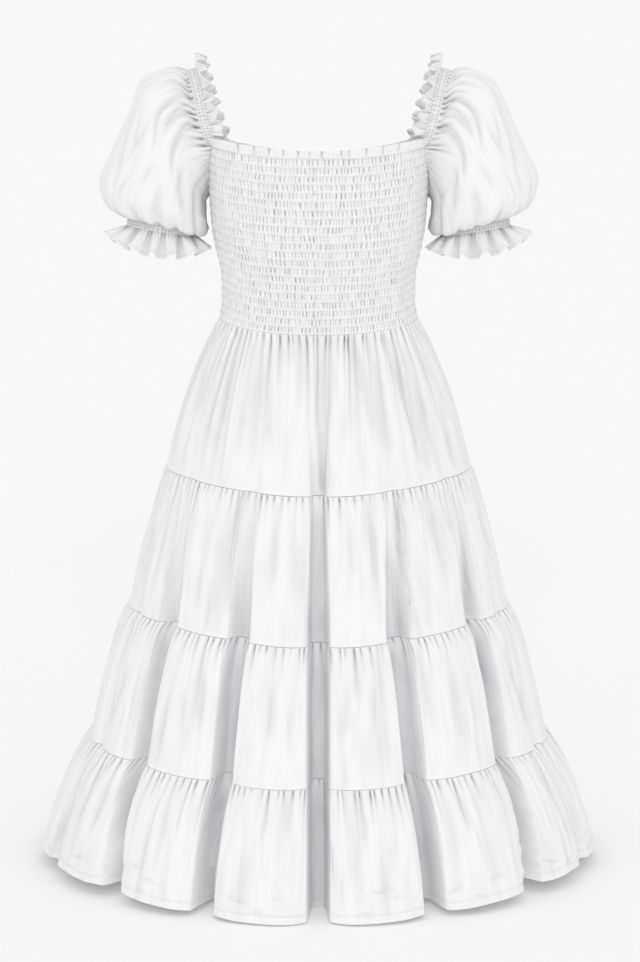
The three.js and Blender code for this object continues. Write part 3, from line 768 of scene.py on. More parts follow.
# folds of the front as troughs() reads them, tier by tier
frontFolds = [
    [
        (0.02, 0.92, -27.5, -26.5, -26.6, 5.5, 6, 0.3, 0.6, 0),
        (0, 0.37, -16.6, -16.5, -16.4, 3.5, 4, 0, 1, 0),
        (0, 0.55, -7.4, -7, -8.2, 3.5, 4, 0, 1, 0),
        (0, 0.97, -0.1, 0.6, 1.6, 6.5, 5.5, -0.9, 0.5, 1),
        (0, 0.45, 3.5, 5.2, 6.1, 3.5, 4, 0.3, 1, 0),
        (0, 0.75, 11.6, 20.4, 22.2, 5, 8, 0, 0.8, 0),
        (0.05, 0.96, 33.1, 40.9, 44.1, 6.5, 8, -0.5, 0.6, 0.2),
        (0.1, 0.99, 44.5, 49.8, 54.5, 4.5, 7, 0, 0.5, 0.2),
        (0.03, 0.8, -49.9, -50.3, -53.4, 4.5, 6, 0, 0.8, 0),
        (0, 0.65, -61.4, -61.3, -63.1, 4, 6, 0, 1, 0),
        (0.05, 0.98, -41.1, -43.7, -44.9, 5, 5, 0.3, 0.7, 0.2),
        (0.02, 0.9, -34.4, -32.4, -34, 4.5, 5, 0, 0.7, 0),
        (0.05, 0.8, -21.2, -20.2, -20, 3.5, 5, 0, 0.6, 0),
        (0, 0.4, -3.2, -3.8, -4.2, 3, 3.5, 0, 1, 0),
        (0.02, 0.9, 23.4, 27.2, 30.5, 5, 6, 0.3, 0.7, 0),
    ],
    [
        (0.03, 0.8, -27.2, -28.9, -27.8, 9, 8, 0.8, 0.8, 0.3),
        (0.05, 0.97, -59.4, -56, -54.1, 6, 6, 0.8, 0.4, 1),
        (0.15, 0.95, -35, -33.4, -31.9, 5, 8, 0, 0, 0.5),
        (0.03, 0.99, 29.5, 28, 26.5, 6, 8, -0.8, 0.7, 1),
        (0.08, 0.7, 43.5, 44.3, 45.8, 5.5, 9, 0, 0.4, 0),
        (0.05, 0.95, 60, 57.6, 56, 5, 8, -0.8, 0.5, 1),
        (0.08, 0.72, -14.8, -15.2, -15.6, 3.5, 6, 0, 0.3, 0),
        (0.12, 0.75, -9.4, -5.8, -4.6, 3.5, 6, 0, 0.2, 0),
        (0.1, 0.65, 10.5, 10.7, 8.4, 3.5, 6, 0, 0.3, 0),
        (0.12, 0.66, 18.1, 18.4, 17.2, 4, 5, 0, 0.3, 0),
        (0.18, 0.86, -41.6, -40.9, -40.5, 4, 6, 0, 0.3, 0),
        (0.3, 0.9, -74.2, -74.6, -74.4, 3.5, 8, 0, 0, 0),
        (0.2, 0.6, 74, 74.8, 75.5, 3.5, 8, 0, 0, 0),
    ],
    [
        (0.2, 0.7, 8.6, 6.8, 5.9, 4.5, 6, 0, 0.2, 0),
        (0.2, 0.62, 14.9, 14.8, 14.8, 3.5, 6, 0, 0, 0),
        (0.2, 0.7, -12.4, -12.3, -12.2, 4, 6, 0, 0, 0),
        (0.28, 0.75, -8.5, -7.7, -6.9, 3.5, 6, 0, 0, 0),
        (0.18, 0.68, -32.4, -32, -31.6, 5, 7, 0, 0.3, 0),
        (0.34, 0.8, -37.8, -36.6, -35.5, 3.5, 6, 0, 0, 0),
        (0.12, 0.68, 28.9, 29.2, 29.5, 4.5, 8, 0, 0.3, 0),
        (0.18, 0.9, 38.2, 38.8, 39, 5.5, 9, 0, 0.2, 0.2),
        (0.3, 0.9, -62.6, -65, -68.4, 5.5, 8, 0, 0, 0.3),
        (0.2, 0.93, 62.2, 65, 68.4, 5.5, 8, 0, 0.2, 0.3),
        (0.45, 0.95, 13.5, 12.6, 11.8, 3, 9, 0, 0, 0.4),
        (0.5, 0.95, -43.5, -44, -44.6, 3.5, 8, 0, 0, 0.4),
    ],
    [
        (0.15, 0.65, -55.4, -55.8, -56.2, 4.5, 7, 0, 0.2, 0),
        (0.03, 0.5, 8.5, 9.8, 9.1, 4, 5, 0.6, 0.6, 0),
        (0.05, 0.4, -11.6, -11.8, -12, 3, 5, 0, 0.6, 0),
        (0, 0.36, -6.9, -7, -7.1, 2.6, 5, 0, 0.7, 0),
        (0.12, 0.85, 62, 65, 68, 5.5, 8, 0, 0.2, 0),
        (0.06, 0.46, 32.8, 33.6, 34.4, 4.5, 6, 0, 0.4, 0),
        (0.1, 0.6, -36, -35, -34.6, 4, 7, 0, 0.3, 0),
        (0.3, 0.9, 15, 14, 13.2, 3, 10, 0, 0, 0.2),
        (0.4, 0.95, -14, -15, -16, 3, 10, 0, 0, 0.3),
        (0.35, 0.9, 38, 39, 40, 3, 10, 0, 0, 0.2),
        (0.4, 0.95, -69, -70.5, -72, 4, 10, 0, 0, 0.4),
    ],
]


def similarFolds(table, seed):
    # folds like the front's for the back, each a little elsewhere, deeper or longer
    random = np.random.default_rng(seed)
    similar = []
    for place1, place2, turn1, turn2, turn3, depth, width, bias, start, end in table:
        shift, size, long = random.uniform(-3, 3), random.uniform(0.7, 1.25), random.uniform(-0.08, 0.08)
        similar.append((place1, min(place2 + long, 0.98), shift - turn1, shift - turn2, shift - turn3,
                        depth * size, width * random.uniform(0.85, 1.2), -bias, start, end))
    return similar


def similarCreases(table, seed):
    # creases like the front's for the back, each a little elsewhere
    random = np.random.default_rng(seed)
    return [
        (random.uniform(-4, 4) - turn, above * random.uniform(0.85, 1.1), long, depth, -slope)
        for turn, above, long, depth, slope in table
    ]


# short level creases above the hem: turn, height above the edge, length, depth and slope
frontCreases = [
    (-40, 42, 22, 1.4, 0.25), (-36, 30, 26, 1.3, -0.15), (-38, 15, 18, 1, 0.1),
    (-16, 26, 24, 1.3, -0.2), (-12, 15, 20, 1.2, 0.15), (-8, 34, 14, 0.9, 0.3),
    (12, 40, 26, 1.3, 0.2), (16, 30, 18, 1.1, -0.3), (9, 15, 20, 0.9, 0.1),
    (28, 26, 16, 1.2, 0.5), (33, 15, 18, 1, -0.2), (38, 32, 18, 1.1, 0.2),
    (56, 24, 20, 1.3, -0.3), (62, 16, 18, 1.1, 0.2), (74, 28, 20, 1.2, 0.3),
    (-58, 28, 24, 1.3, 0.2), (-66, 16, 18, 1.1, -0.2), (-78, 30, 20, 1.2, -0.3),
]
tiers = []
for tier in range(4):
    creases = frontCreases if tier == 3 else ()
    backCreases = similarCreases(creases, cloth["seed"] + 90)
    front = tierPanel(tier, False, frontFolds[tier], creases)
    back = tierPanel(tier, True, similarFolds(frontFolds[tier], cloth["seed"] + 70 + tier), backCreases)
    tiers.append((front, back))


def unevenWaves(seed, count, share, spread=0.22):
    # a run of waves, each of its own length and height
    random = np.random.default_rng(seed)
    knots = np.arange(count + 1.0)
    knots[1:-1] += random.uniform(-spread, spread, count - 1)
    phase = np.interp(share * count, knots, np.arange(count + 1))
    size = random.uniform(0.72, 1.2, count + 1)[np.floor(phase + 0.5).astype(int) % (count + 1)]
    size = np.where(np.floor(phase + 0.5) >= count, 1, size)
    rounded = np.sin(2 * np.pi * phase) + 0.16 * np.sin(6 * np.pi * phase)
    return rounded * mixed(1, size, 0.8 * np.sin(2 * np.pi * phase) ** 2)


# Neck frill: a heading of flat overlapping tucks above the first row of elastic
neckFrill = {
    "rise": 12.6,
    "middleDrop": 3.2,        # how much lower it stands at the middle
    "halfLength": 146,
    "creaseShade": 0.8,
    "lean": 1.8,
    "step": 2.4,
    "wall": 1.2,
    "columns": 340,
    "rows": 11,
    "plainTurn": 54,
    # where each tuck ends, in mm from the middle of the front, and how hard it is pressed
    "frontTucks": ((-107.5, 0.9), (-86, 0.7), (-66, 1), (-47, 0.8), (-27, 1.1), (-12, 0.7), (5, 1), (31, 0.9),
                   (41, 0.7), (64, 1), (86, 0.8), (107.5, 1)),
}


def neckFrillPiece(name, isBack):
    # a wall that stands on the neckline and leans out by lean * up + step * swing * up^0.6, where
    # swing rises to each tuck as a parabola and falls behind it
    middle = 180 if isBack else 0
    turn = middle + np.linspace(-bodice["cornerTurn"], bodice["cornerTurn"], neckFrill["columns"])[None]
    foot, out = ringPoints(ringValues(bodiceRings, np.full((1, 1), float(bodiceRings[0, 0]))), turn)
    across = foot[..., 0] * (-1 if isBack else 1)
    random = np.random.default_rng(cloth["seed"] + 200 + isBack)
    swing, paintedShade = 0 * across, 0 * across
    tucks = [(place + isBack * random.uniform(-5, 5), depth) for place, depth in neckFrill["frontTucks"]]
    edges = [-neckFrill["halfLength"]] + [place for place, depth in tucks] + [neckFrill["halfLength"]]
    for k, (place, depth) in enumerate(tucks):
        before = np.clip((across - edges[k]) / (place - edges[k]), 0, 1)
        after = np.clip((edges[k + 2] - across) / (edges[k + 2] - place), 0, 1)
        swing = swing + depth * np.where(across <= place, 0.62 * before ** 2, -0.38 * after ** 2)
        paintedShade = paintedShade + depth * bell(across - place, 1)
    plain = smoothBetween(bodice["cornerTurn"], neckFrill["plainTurn"], np.abs(turn - middle))
    up = np.linspace(1, 0, neckFrill["rows"])[:, None]
    fine = 0.35 * smoothNoise(cloth["seed"] + 210 + isBack, 2, 90, 1 - up, (turn - middle) / 133 + 0.5)
    gathers = 0.5 * np.abs(np.sin(np.pi * across / 4.3)) * bell(up, 0.25)
    push = 0.9 + neckFrill["lean"] * up + plain * (neckFrill["step"] * swing * up ** 0.6) + fine + gathers
    ripple = 0.8 * plain * swing * up
    low = neckFrill["middleDrop"] * smoothBetween(95, 0, np.abs(across))
    lift = cloth["seamGap"] + (neckFrill["rise"] - low) * up * mixed(0.86, 1, plain) + ripple
    outer = foot + out * push[..., None] + np.array([0, 0, 1]) * lift[..., None]
    inner = outer - out * neckFrill["wall"]
    uv = np.stack([across / 1000 + 0 * up, lift / 1000], axis=-1)
    # painted shade along each tuck's folded edge, less towards the foot
    paintedShade = neckFrill["creaseShade"] * paintedShade * up ** 0.4
    return clothShell(name, outer, inner, paintedShade, uv, shirredCloth, "shirred_cotton")


neckFrillFront = neckFrillPiece("neck_frill_front_tucks", False)
neckFrillBack = neckFrillPiece("neck_frill_back_tucks", True)

# Shoulder band: an elastic strip from the front corner over the shoulder to the back corner, here
# the wearer's right one, in mm
bandPath = (
    (-146, -52, -101.5), (-153, -59, -82), (-159, -59, -58), (-167, -44, -24), (-173, -22, -6), (-175, 0, 0),
)
band = {
    "width": 12,
    "columns": 250,
    "rows": 13,
    "rib": 0.75,
    "ribPitch": 4.4,
    "stitchLines": (-3, 3),
    "wall": 1.4,
}


def bandFrame(share):
    # places along the band from the back corner (0) to the front corner (1), and its directions
    half = np.array(bandPath, float)
    keys = np.concatenate([half * np.array([1, -1, 1]), half[-2::-1]])
    at = lengthAlong(keys, 0.5)
    fine = splineThrough(at, keys, np.linspace(0, at[-1], 1200))
    total = lengthAlong(fine)
    where = np.asarray(share) * total[-1]
    place = pointsAt(where, total, fine)
    along = pointsAt(where, total, np.gradient(fine, axis=0))
    along = along / np.linalg.norm(along, axis=-1, keepdims=True)
    out = np.stack([-1 + 0 * where, 0.22 * place[..., 1] / -59, -0.25 + 0 * where], axis=-1)
    out = out - along * (out * along).sum(axis=-1, keepdims=True)
    out = out / np.linalg.norm(out, axis=-1, keepdims=True)
    return place, along, out, np.cross(out, along), total[-1]


def bandGrid(seed):
    # a strip beside the path, crowned and ribbed by |sin(pi * length / ribPitch)|, pressed in at its stitches
    share = np.linspace(0, 1, band["columns"])
    place, along, out, off, length = bandFrame(share)
    across = np.linspace(-band["width"] / 2, band["width"] / 2, band["rows"])[:, None]
    wander = 0.6 * smoothNoise(seed, 1, 24, 0.5, share[None])
    rib = np.abs(np.sin(np.pi * (share[None] * length / band["ribPitch"] + wander + 0.02 * across)))
    strength = 0.75 + 0.35 * smoothNoise(seed + 1, 2, 60, across / 12 + 0.5, share[None])
    crown = 1 - (across / 7.2) ** 2
    stitched = sum(bell(across - line, 0.75) for line in band["stitchLines"])
    push = 0.5 * crown + band["rib"] * rib * strength - 0.45 * stitched
    outer = place + out * across[..., None] + off * push[..., None]
    uv = np.stack([share[None] * length / 1000 + 0 * across, across / 1000 + 0 * share[None]], axis=-1)
    inner = outer - off * band["wall"] - off * push[..., None] * 0.6
    # the third grid is painted shade between the ribs and along the stitches
    return outer, inner, 0.5 * (1 - rib) * strength + 0.3 * stitched, uv


def sidePair(name, grids, material, slot="cotton", **options):
    # the same piece on the wearer's right and left, each from its own uneven grid
    pieces = []
    for side, (outer, inner, paintedShade, uv) in zip(("right", "left"), grids):
        if side == "left":
            outer, inner = mirrored(outer), mirrored(inner)
            paintedShade, uv = paintedShade[:, ::-1], uv[:, ::-1]
        pieces.append(clothShell(f"{name}_{side}", outer, inner, paintedShade, uv, material, slot, **options))
    return pieces


seed = cloth["seed"]
bands = sidePair("shoulder_band_ribs", [bandGrid(seed + 220), bandGrid(seed + 225)], elasticCloth,
                 "elastic_cotton")

# Shoulder frill: a loose ruffle on the band's neck side
shoulderFrill = {
    "width": 21,
    "wave": 5.4,
    "topWave": 4.2,
    "waves": 15,
    "leanEnd": 18,
    "leanTop": 60,
    "columns": 330,
    "rows": 18,
    "wall": 0.9,
}


def shoulderFrillGrid(seed):
    # a strip that leans away from the band, waved by wave * swing * up^1.1 and by finer pleats
    share = np.linspace(0, 1, shoulderFrill["columns"])
    place, along, out, off, length = bandFrame(share)
    lean = mixed(shoulderFrill["leanEnd"], shoulderFrill["leanTop"], np.sin(np.pi * share))
    lean = np.radians(lean)[:, None]
    away = -out * np.cos(lean) + off * np.sin(lean)
    face = off * np.cos(lean) + out * np.sin(lean)
    up = np.linspace(1, 0, shoulderFrill["rows"])[:, None]
    swing = unevenWaves(seed, shoulderFrill["waves"], share)[None]
    ends = smoothBetween(0, 0.05, share) * smoothBetween(1, 0.95, share)
    fine = np.sin(2 * np.pi * (share[None] * length / band["ribPitch"]
                               + 0.5 * smoothNoise(seed + 2, 1, 30, 0.5, share[None])))
    pleat = unevenWaves(seed + 4, 2 * shoulderFrill["waves"] + 3, share, 0.35)[None]
    atTop = np.sin(np.pi * share) ** 4
    wave = shoulderFrill["wave"] + shoulderFrill["topWave"] * atTop
    push = (wave * swing * up ** 1.1 + 1.7 * pleat * up ** 0.8) * mixed(0.35, 1, ends)
    push = push + 0.45 * fine * bell(up, 0.3)
    push = push + 0.4 * smoothNoise(seed + 3, 3, 70, up, share[None]) * up - 0.5 * bell(up - 0.86, 0.025)
    width = shoulderFrill["width"] * mixed(0.72, 1, ends) - 1.1 * swing ** 2
    foot = place - out * (band["width"] / 2 + cloth["seamGap"])
    sway = 1.6 * unevenWaves(seed + 5, shoulderFrill["waves"] - 3, share)[None] * up ** 1.5
    outer = foot + away * (width * up)[..., None] + face * push[..., None] + along * sway[..., None]
    normal = gridNormals(outer)
    uv = np.stack([share[None] * length * 1.4 / 1000 + 0 * up, width * up / 1000], axis=-1)
    # painted shade in the fine gathers by the foot, along the groove near the edge and in the valleys of the
    # waves
    paintedShade = np.clip(-fine, 0, 1) * bell(up, 0.3) * 0.6 + 0.1 * bell(up - 0.86, 0.03)
    paintedShade = paintedShade + 0.3 * np.clip(-pleat - 0.4 * swing, 0, 1) ** 2 * bell(up - 0.35, 0.4)
    return outer, outer - normal * shoulderFrill["wall"], paintedShade, uv


frillGrids = [shoulderFrillGrid(seed + 230), shoulderFrillGrid(seed + 240)]
shoulderFrills = sidePair("shoulder_frill_ruffle", frillGrids, cottonCloth)

# Puff sleeve of the wearer's right: rings that lean with the arm, from the band to the cuff
sleeveRings = np.array([
    # topX, topZ, lowX, lowZ, halfDepth
    (-202, 3.5, -158, -180, 70),
    (-239, -13, -158, -190, 79),
    (-262, -58, -157, -201, 84),
    (-287, -111, -156, -212, 83),
    (-304, -153, -156, -221, 79),
    (-297, -176, -159, -226, 71),
    (-266, -202, -169, -217, 48),
])
sleeve = {
    "bandTurn": 100,
    "gathers": 58,
    "columnsPerGather": 6,
    "gatherDepth": 3.8,
    "gatherFade": 14,
    "cuffGatherDepth": 3.4,
    "cuffGatherFade": 12,
    "reach": 82,              # mean radius round the sleeve
    "foldShare": 0.86,
    "streaks": 70,
    "flatWidth": 0.62,        # of the weave round the sleeve, in metres
}
# folds of the sleeve as troughs() reads them: shares of its length, turns from the top (front 90,
# back -90), depth, half width, bias and the strength at either end
sleeveFolds = [
    (0, 0.46, 52, 62, 78, 6.5, 4.2, 0.6, 1, 0),
    (0, 0.22, 40, 38, 36, 5, 3.4, 0.2, 1, 0),
    (0, 0.3, 27, 22, 16, 5.5, 3.6, 0.3, 1, 0),
    (0, 0.16, 14, 11, 9, 4.5, 4, 0, 1, 0),
    (0, 0.24, 3, 1, -2, 5, 5, 0, 1, 0),
    (0, 0.3, 66, 74, 80, 5, 3.6, 0.4, 1, 0),
    (0, 0.48, 80, 94, 104, 6.5, 4.5, 0.4, 1, 0),
    (0.14, 0.7, 24, 32, 42, 4.5, 6, 0.8, 0, 0),
    (0.34, 0.62, 60, 54, 50, 3.4, 4, 0.6, 0, 0),
    (0.52, 0.82, 34, 44, 50, 3.4, 4.5, -0.6, 0, 0),
    (0.44, 0.7, 84, 78, 76, 3.8, 4, 0.5, 0, 0),
    (0.2, 0.7, 108, 118, 126, 5, 9, 0, 0, 0),
    (0.1, 0.95, 140, 146, 150, 6, 8, 0, 0.3, 0.6),
    (0.5, 0.95, 92, 97, 98, 5, 6, -0.4, 0, 0.5),
    (0, 0.42, -50, -58, -70, 6, 6, -0.5, 1, 0),
    (0, 0.26, -36, -35, -33, 5.5, 5, 0, 1, 0),
    (0, 0.2, -18, -16, -14, 4.5, 5, 0, 1, 0),
    (0, 0.3, -68, -76, -82, 5.5, 5, -0.4, 1, 0),
    (0, 0.48, -84, -96, -102, 6, 6, 0, 1, 0),
    (0.2, 0.74, -24, -32, -40, 4.5, 8, -0.5, 0, 0),
    (0.4, 0.8, -62, -60, -66, 3.5, 7, 0.3, 0, 0),
    (0, 0.2, 46, 47, 50, 4, 2.4, 0.5, 1, 0),
    (0, 0.34, 58, 70, 84, 4.5, 2.6, 0.6, 1, 0),
    (0, 0.12, 33, 30, 28, 4, 2.4, 0, 1, 0),
    (0, 0.26, 74, 84, 92, 4, 2.4, 0.5, 1, 0),
    (0, 0.1, 20, 17, 15, 3.5, 2.4, 0, 1, 0),
    (0.3, 0.56, 40, 47, 56, 3, 2.6, 0.7, 0, 0),
    (0.62, 0.86, 62, 56, 54, 3.2, 3, -0.5, 0, 0),
    (0.66, 0.88, 24, 30, 34, 3, 3, 0.5, 0, 0),
    (0, 0.22, -44, -46, -50, 4, 2.6, -0.5, 1, 0),
    (0, 0.14, -26, -24, -22, 4, 2.4, 0, 1, 0),
    (0.34, 0.6, -36, -44, -52, 3, 2.8, -0.6, 0, 0),
    (0.8, 1, 20, 19, 18, 5, 6, 0, 0, 1),
    (0.86, 1, 44, 42, 41, 5.5, 5, 0, 0, 1),
    (0.78, 1, 70, 72, 73, 5.5, 6, 0, 0, 1),
    (0.88, 1, 94, 95, 95, 5, 5, 0, 0, 1),
    (0.8, 1, 120, 119, 118, 5, 7, 0, 0, 1),
    (0.84, 1, -14, -14, -14, 5, 6, 0, 0, 1),
    (0.78, 1, -44, -43, -42, 5.5, 7, 0, 0, 1),
    (0.84, 1, -76, -75, -74, 5.5, 6, 0, 0, 1),
    (0.8, 1, 210, 212, 213, 5, 7, 0, 0, 1),
]


underarmFold = [(0.78, 1, 236, 234, 233, 5, 7, 0, 0, 1)]      # where the turns meet


def sleeveRing(ring, turn):
    # an ellipse between a ring's top and low points: middle + cos(turn) * half way between, sin(turn) in y
    topX, topZ, lowX, lowZ, halfDepth = ring
    c, s = np.cos(np.radians(turn)), np.sin(np.radians(turn))
    return np.stack([(topX + lowX) / 2 + c * (topX - lowX) / 2, -s * halfDepth,
                     (topZ + lowZ) / 2 + c * (topZ - lowZ) / 2], axis=-1)


def sleeveEdge(turn):
    # the sleeve's top edge: beside the band, then round the armhole under the arm
    overBand = turn <= sleeve["bandTurn"]
    bandTurn = sleeve["bandTurn"]
    place, along, out, off, length = bandFrame(np.clip((turn + bandTurn) / (2 * bandTurn), 0, 1))
    edge = place + out * (band["width"] / 2 + cloth["seamGap"])
    fine = np.linspace(-bodice["cornerTurn"], bodice["cornerTurn"] - 180, 800)[None]
    hole, away = ringPoints(ringValues(bodiceRings, bodiceTop(fine)), fine)
    hole = hole[0] + away[0] * 0.6 + np.array([0, 0, 0.9])
    total = lengthAlong(hole)
    where = np.clip((turn - sleeve["bandTurn"]) / (360 - 2 * sleeve["bandTurn"]), 0, 1) * total[-1]
    under = pointsAt(where, total, hole)
    return np.where(overBand[:, None], edge, under)


def sleeveGrid(seed):
    # rings from the band to the cuff, joined by splines and moved along their normals by folds, soft
    # noise and a puff, less the slits at either end: depth * bell(distance) * bell(down)
    random = np.random.default_rng(seed)
    count, each, start = sleeve["gathers"], sleeve["columnsPerGather"], -sleeve["bandTurn"]
    gather = np.arange(count * each) / each
    knots = np.arange(count + 1.0)
    knots[1:-1] += random.uniform(-0.25, 0.25, count - 1)
    turn = start + 360 * np.interp(gather, np.arange(count + 1), knots) / count
    keys = np.stack([sleeveEdge(turn)] + [sleeveRing(ring, turn) for ring in sleeveRings])
    at = np.concatenate([[0], np.cumsum(np.linalg.norm(np.diff(keys, axis=0), axis=2).mean(axis=1))])
    length = at[-1]

    def spacing(place):
        # mm to the next row: close by the ends, wide between
        return np.minimum(np.clip(0.9 + 0.12 * place, 0.9, 5), np.clip(0.9 + 0.16 * (length - place), 0.9, 5))

    down = unevenRows(length, spacing)
    base = splineThrough(at, keys, down)
    normal = gridNormals(base, isRound=True)
    down = down[:, None]
    fromCuff = length - down
    nearest = np.round(gather).astype(int) % count
    apart = (gather - np.round(gather))[None]

    def slits(depth, fade, spread, longest, beyond):
        # how deep each slit is, and its shape as it fades
        depth = (depth * random.uniform(0.4, 1.3, count)[nearest] * spread)[None]
        fade = (fade * random.uniform(0.5, longest, count)[nearest])[None]
        return depth, bell(apart, 0.17 + 0.25 * np.clip(beyond / fade, 0, 1.2)) * bell(beyond, fade, 1.2)

    isUnder = smoothBetween(100, 120, turn) * smoothBetween(260, 240, turn)
    depth, slit = slits(sleeve["gatherDepth"], sleeve["gatherFade"], 1 - 0.75 * isUnder, 1.7, down)
    cuffDepth, cuffSlit = slits(sleeve["cuffGatherDepth"], sleeve["cuffGatherFade"], 1, 1.8, fromCuff)
    ends = smoothBetween(0.2, 3, down) * smoothBetween(0.2, 3, fromCuff)
    scatter = random.uniform(-3, 3)
    folds = sleeve["foldShare"] * troughs(sleeveFolds, turn[None] + scatter, down, length, sleeve["reach"])
    folds = folds + 0.8 * troughs(underarmFold, turn[None], down, length, sleeve["reach"])
    faint = streaks(seed + 1, sleeve["streaks"], (turn - 80)[None] / 2, down, length, sleeve["reach"] * 2)
    wrap = smoothBetween(start, start + 12, turn) * smoothBetween(start + 360, start + 348, turn)
    noise = smoothNoise(seed + 2, 7, 18, down / length, (turn[None] - start) / 360)
    soft = 0.35 * faint * wrap + 1.9 * noise * wrap
    puff = 1.2 * (1 - bell(down, 9)) + 4 * bell(fromCuff - 16, 13)
    push = (folds + soft + puff) * ends - depth * slit * ends - cuffDepth * cuffSlit * ends
    outer = base + normal * push[..., None]
    rows = np.unique(np.clip(np.searchsorted(down[:, 0], np.linspace(0, length, 16)), 0, len(down) - 1))
    inner = innerSkin(base, normal, push, rows)
    uv = np.stack([turn[None] / 360 * sleeve["flatWidth"] + 0 * down, -down / 1000 + 0 * turn[None]], axis=-1)
    # painted shade in the slits at the band and the cuff and in the fold valleys
    paintedShade = (depth * slit ** 1.6 + cuffDepth * cuffSlit ** 1.6) / 3.4 + np.clip(-folds / 26, 0, 0.21)
    return outer, inner, paintedShade, uv, rows


sleeveGrids = [sleeveGrid(seed + 250), sleeveGrid(seed + 260)]
sleeves = sidePair("sleeve_puff", [grid[:4] for grid in sleeveGrids], cottonCloth, isRound=True,
                   innerRows=sleeveGrids[0][4])

# Cuff: an elastic band below the puff and a short flared frill with a rolled hem
cuff = {
    "height": 11,
    "ribPitch": 4.6,
    "rib": 0.7,
    "columns": 320,
    "rows": 11,
    "stitchLines": (3, 8),
    "wall": 1.3,
    "round": 308,             # length round it
}
cuffFrill = {
    "outerFlare": 25,
    "innerFlare": 19,
    "drop": 19,
    "frontDrop": 12,
    "wave": 9,
    "waves": 14,
    "columns": 400,
    "rows": 20,
    "wall": 0.9,
}


def cuffPoint(turn, drop, outward):
    # points below the sleeve's last ring, moved down its axis and out from it
    topX, topZ, lowX, lowZ, halfDepth = sleeveRings[-1]
    axis = np.array([lowZ - topZ, 0, topX - lowX])
    axis = axis / np.linalg.norm(axis)
    ring = sleeveRing(sleeveRings[-1], turn)
    centre = np.array([(topX + lowX) / 2, 0, (topZ + lowZ) / 2])
    away = ring - centre
    away = away / np.linalg.norm(away, axis=-1, keepdims=True)
    return ring + axis * drop[..., None] + away * outward[..., None], away


def cuffGrid(seed):
    # a ring of ribs |sin(pi * ribs * share)| below the sleeve, pressed in at its stitches
    share = np.arange(cuff["columns"]) / cuff["columns"]
    turn = (360 * share - sleeve["bandTurn"])[None]
    down = np.linspace(cloth["seamGap"], cuff["height"], cuff["rows"])[:, None]
    ribs = round(cuff["round"] / cuff["ribPitch"])
    wander = 0.5 * smoothNoise(seed, 1, 22, 0.5, share[None]) * np.sin(np.pi * share[None]) ** 0.5
    rib = np.abs(np.sin(np.pi * (ribs * share[None] + wander)))
    stitched = sum(bell(down - line, 0.7) for line in cuff["stitchLines"])
    push = -1 + 0.4 * np.sin(np.pi * down / 11.3) + cuff["rib"] * rib - 0.45 * stitched
    outer, away = cuffPoint(turn, down + 0 * turn, push)
    inner, away = cuffPoint(turn, down + 0 * turn, 0 * push - 1 - cuff["wall"])
    uv = np.stack([share[None] * cuff["round"] / 1000 + 0 * down, -down / 1000 + 0 * turn], axis=-1)
    # the third grid is painted shade between the ribs and along the stitches
    return outer, inner, 0.5 * (1 - rib) + 0.3 * stitched, uv


def cuffFrillGrid(seed):
    # a flared ring, waved out by 0.85 * wave * swing * t^1.2 and up by 0.6 * wave * swing * t^1.3
    share = np.arange(cuffFrill["columns"]) / cuffFrill["columns"]
    turn = 360 * share - sleeve["bandTurn"]
    c, s = np.cos(np.radians(turn)), np.sin(np.radians(turn))
    flare = mixed(cuffFrill["innerFlare"], cuffFrill["outerFlare"], (1 + c) / 2)[None]
    fall = (cuffFrill["drop"] + cuffFrill["frontDrop"] * s ** 2)[None]
    swing = unevenWaves(seed, cuffFrill["waves"], share)[None]
    sway = unevenWaves(seed + 1, cuffFrill["waves"], (share + 0.25 / cuffFrill["waves"]) % 1)[None]
    t = np.linspace(0, 1, cuffFrill["rows"])[:, None]
    fine = np.sin(2 * np.pi * 66 * share)[None]
    drop = cuff["height"] + cloth["seamGap"] + fall * (t ** 1.05) - 0.6 * cuffFrill["wave"] * swing * t ** 1.3
    push = -1 + flare * (1.22 * t - 0.22 * t * t) + 0.85 * cuffFrill["wave"] * swing * t ** 1.2
    push = push + 0.5 * fine * bell(t, 0.16) - 0.5 * bell(t - 0.88, 0.02)
    push = push + 0.5 * smoothNoise(seed + 2, 3, 90, t, share[None]) * np.sin(np.pi * share)[None]
    outer, away = cuffPoint(turn[None] + 1.2 * sway * t, drop, push)
    normal = gridNormals(outer, isRound=True)
    uv = np.stack([share[None] * 0.9 + 0 * t, -fall * t / 1000], axis=-1)
    # painted shade in the fine gathers near the top, in the waves' valleys (less towards the edge) and along
    # the rolled hem's groove
    paintedShade = 0.6 * np.clip(-fine, 0, 1) * bell(t, 0.2) + 0.75 * np.clip(-swing, 0, 1) ** 1.5 * (1 - 0.7 * t)
    paintedShade = paintedShade + 0.2 * bell(t - 0.88, 0.03)
    return outer, outer - normal * cuffFrill["wall"], paintedShade, uv


cuffBands = sidePair("cuff_band_ribs", [cuffGrid(seed + 270), cuffGrid(seed + 275)], elasticCloth,
                     "elastic_cotton", isRound=True)
cuffFrillGrids = [cuffFrillGrid(seed + 280), cuffFrillGrid(seed + 285)]
cuffFrills = sidePair("cuff_frill_ruffle", cuffFrillGrids, cottonCloth, isRound=True)

# Stitches: short raised threads along the hem
stitch = {
    "long": 2.6,
    "pitch": 3.9,
    "radius": 0.24,
    "lift": 0.12,
    "bury": 0.1,
}


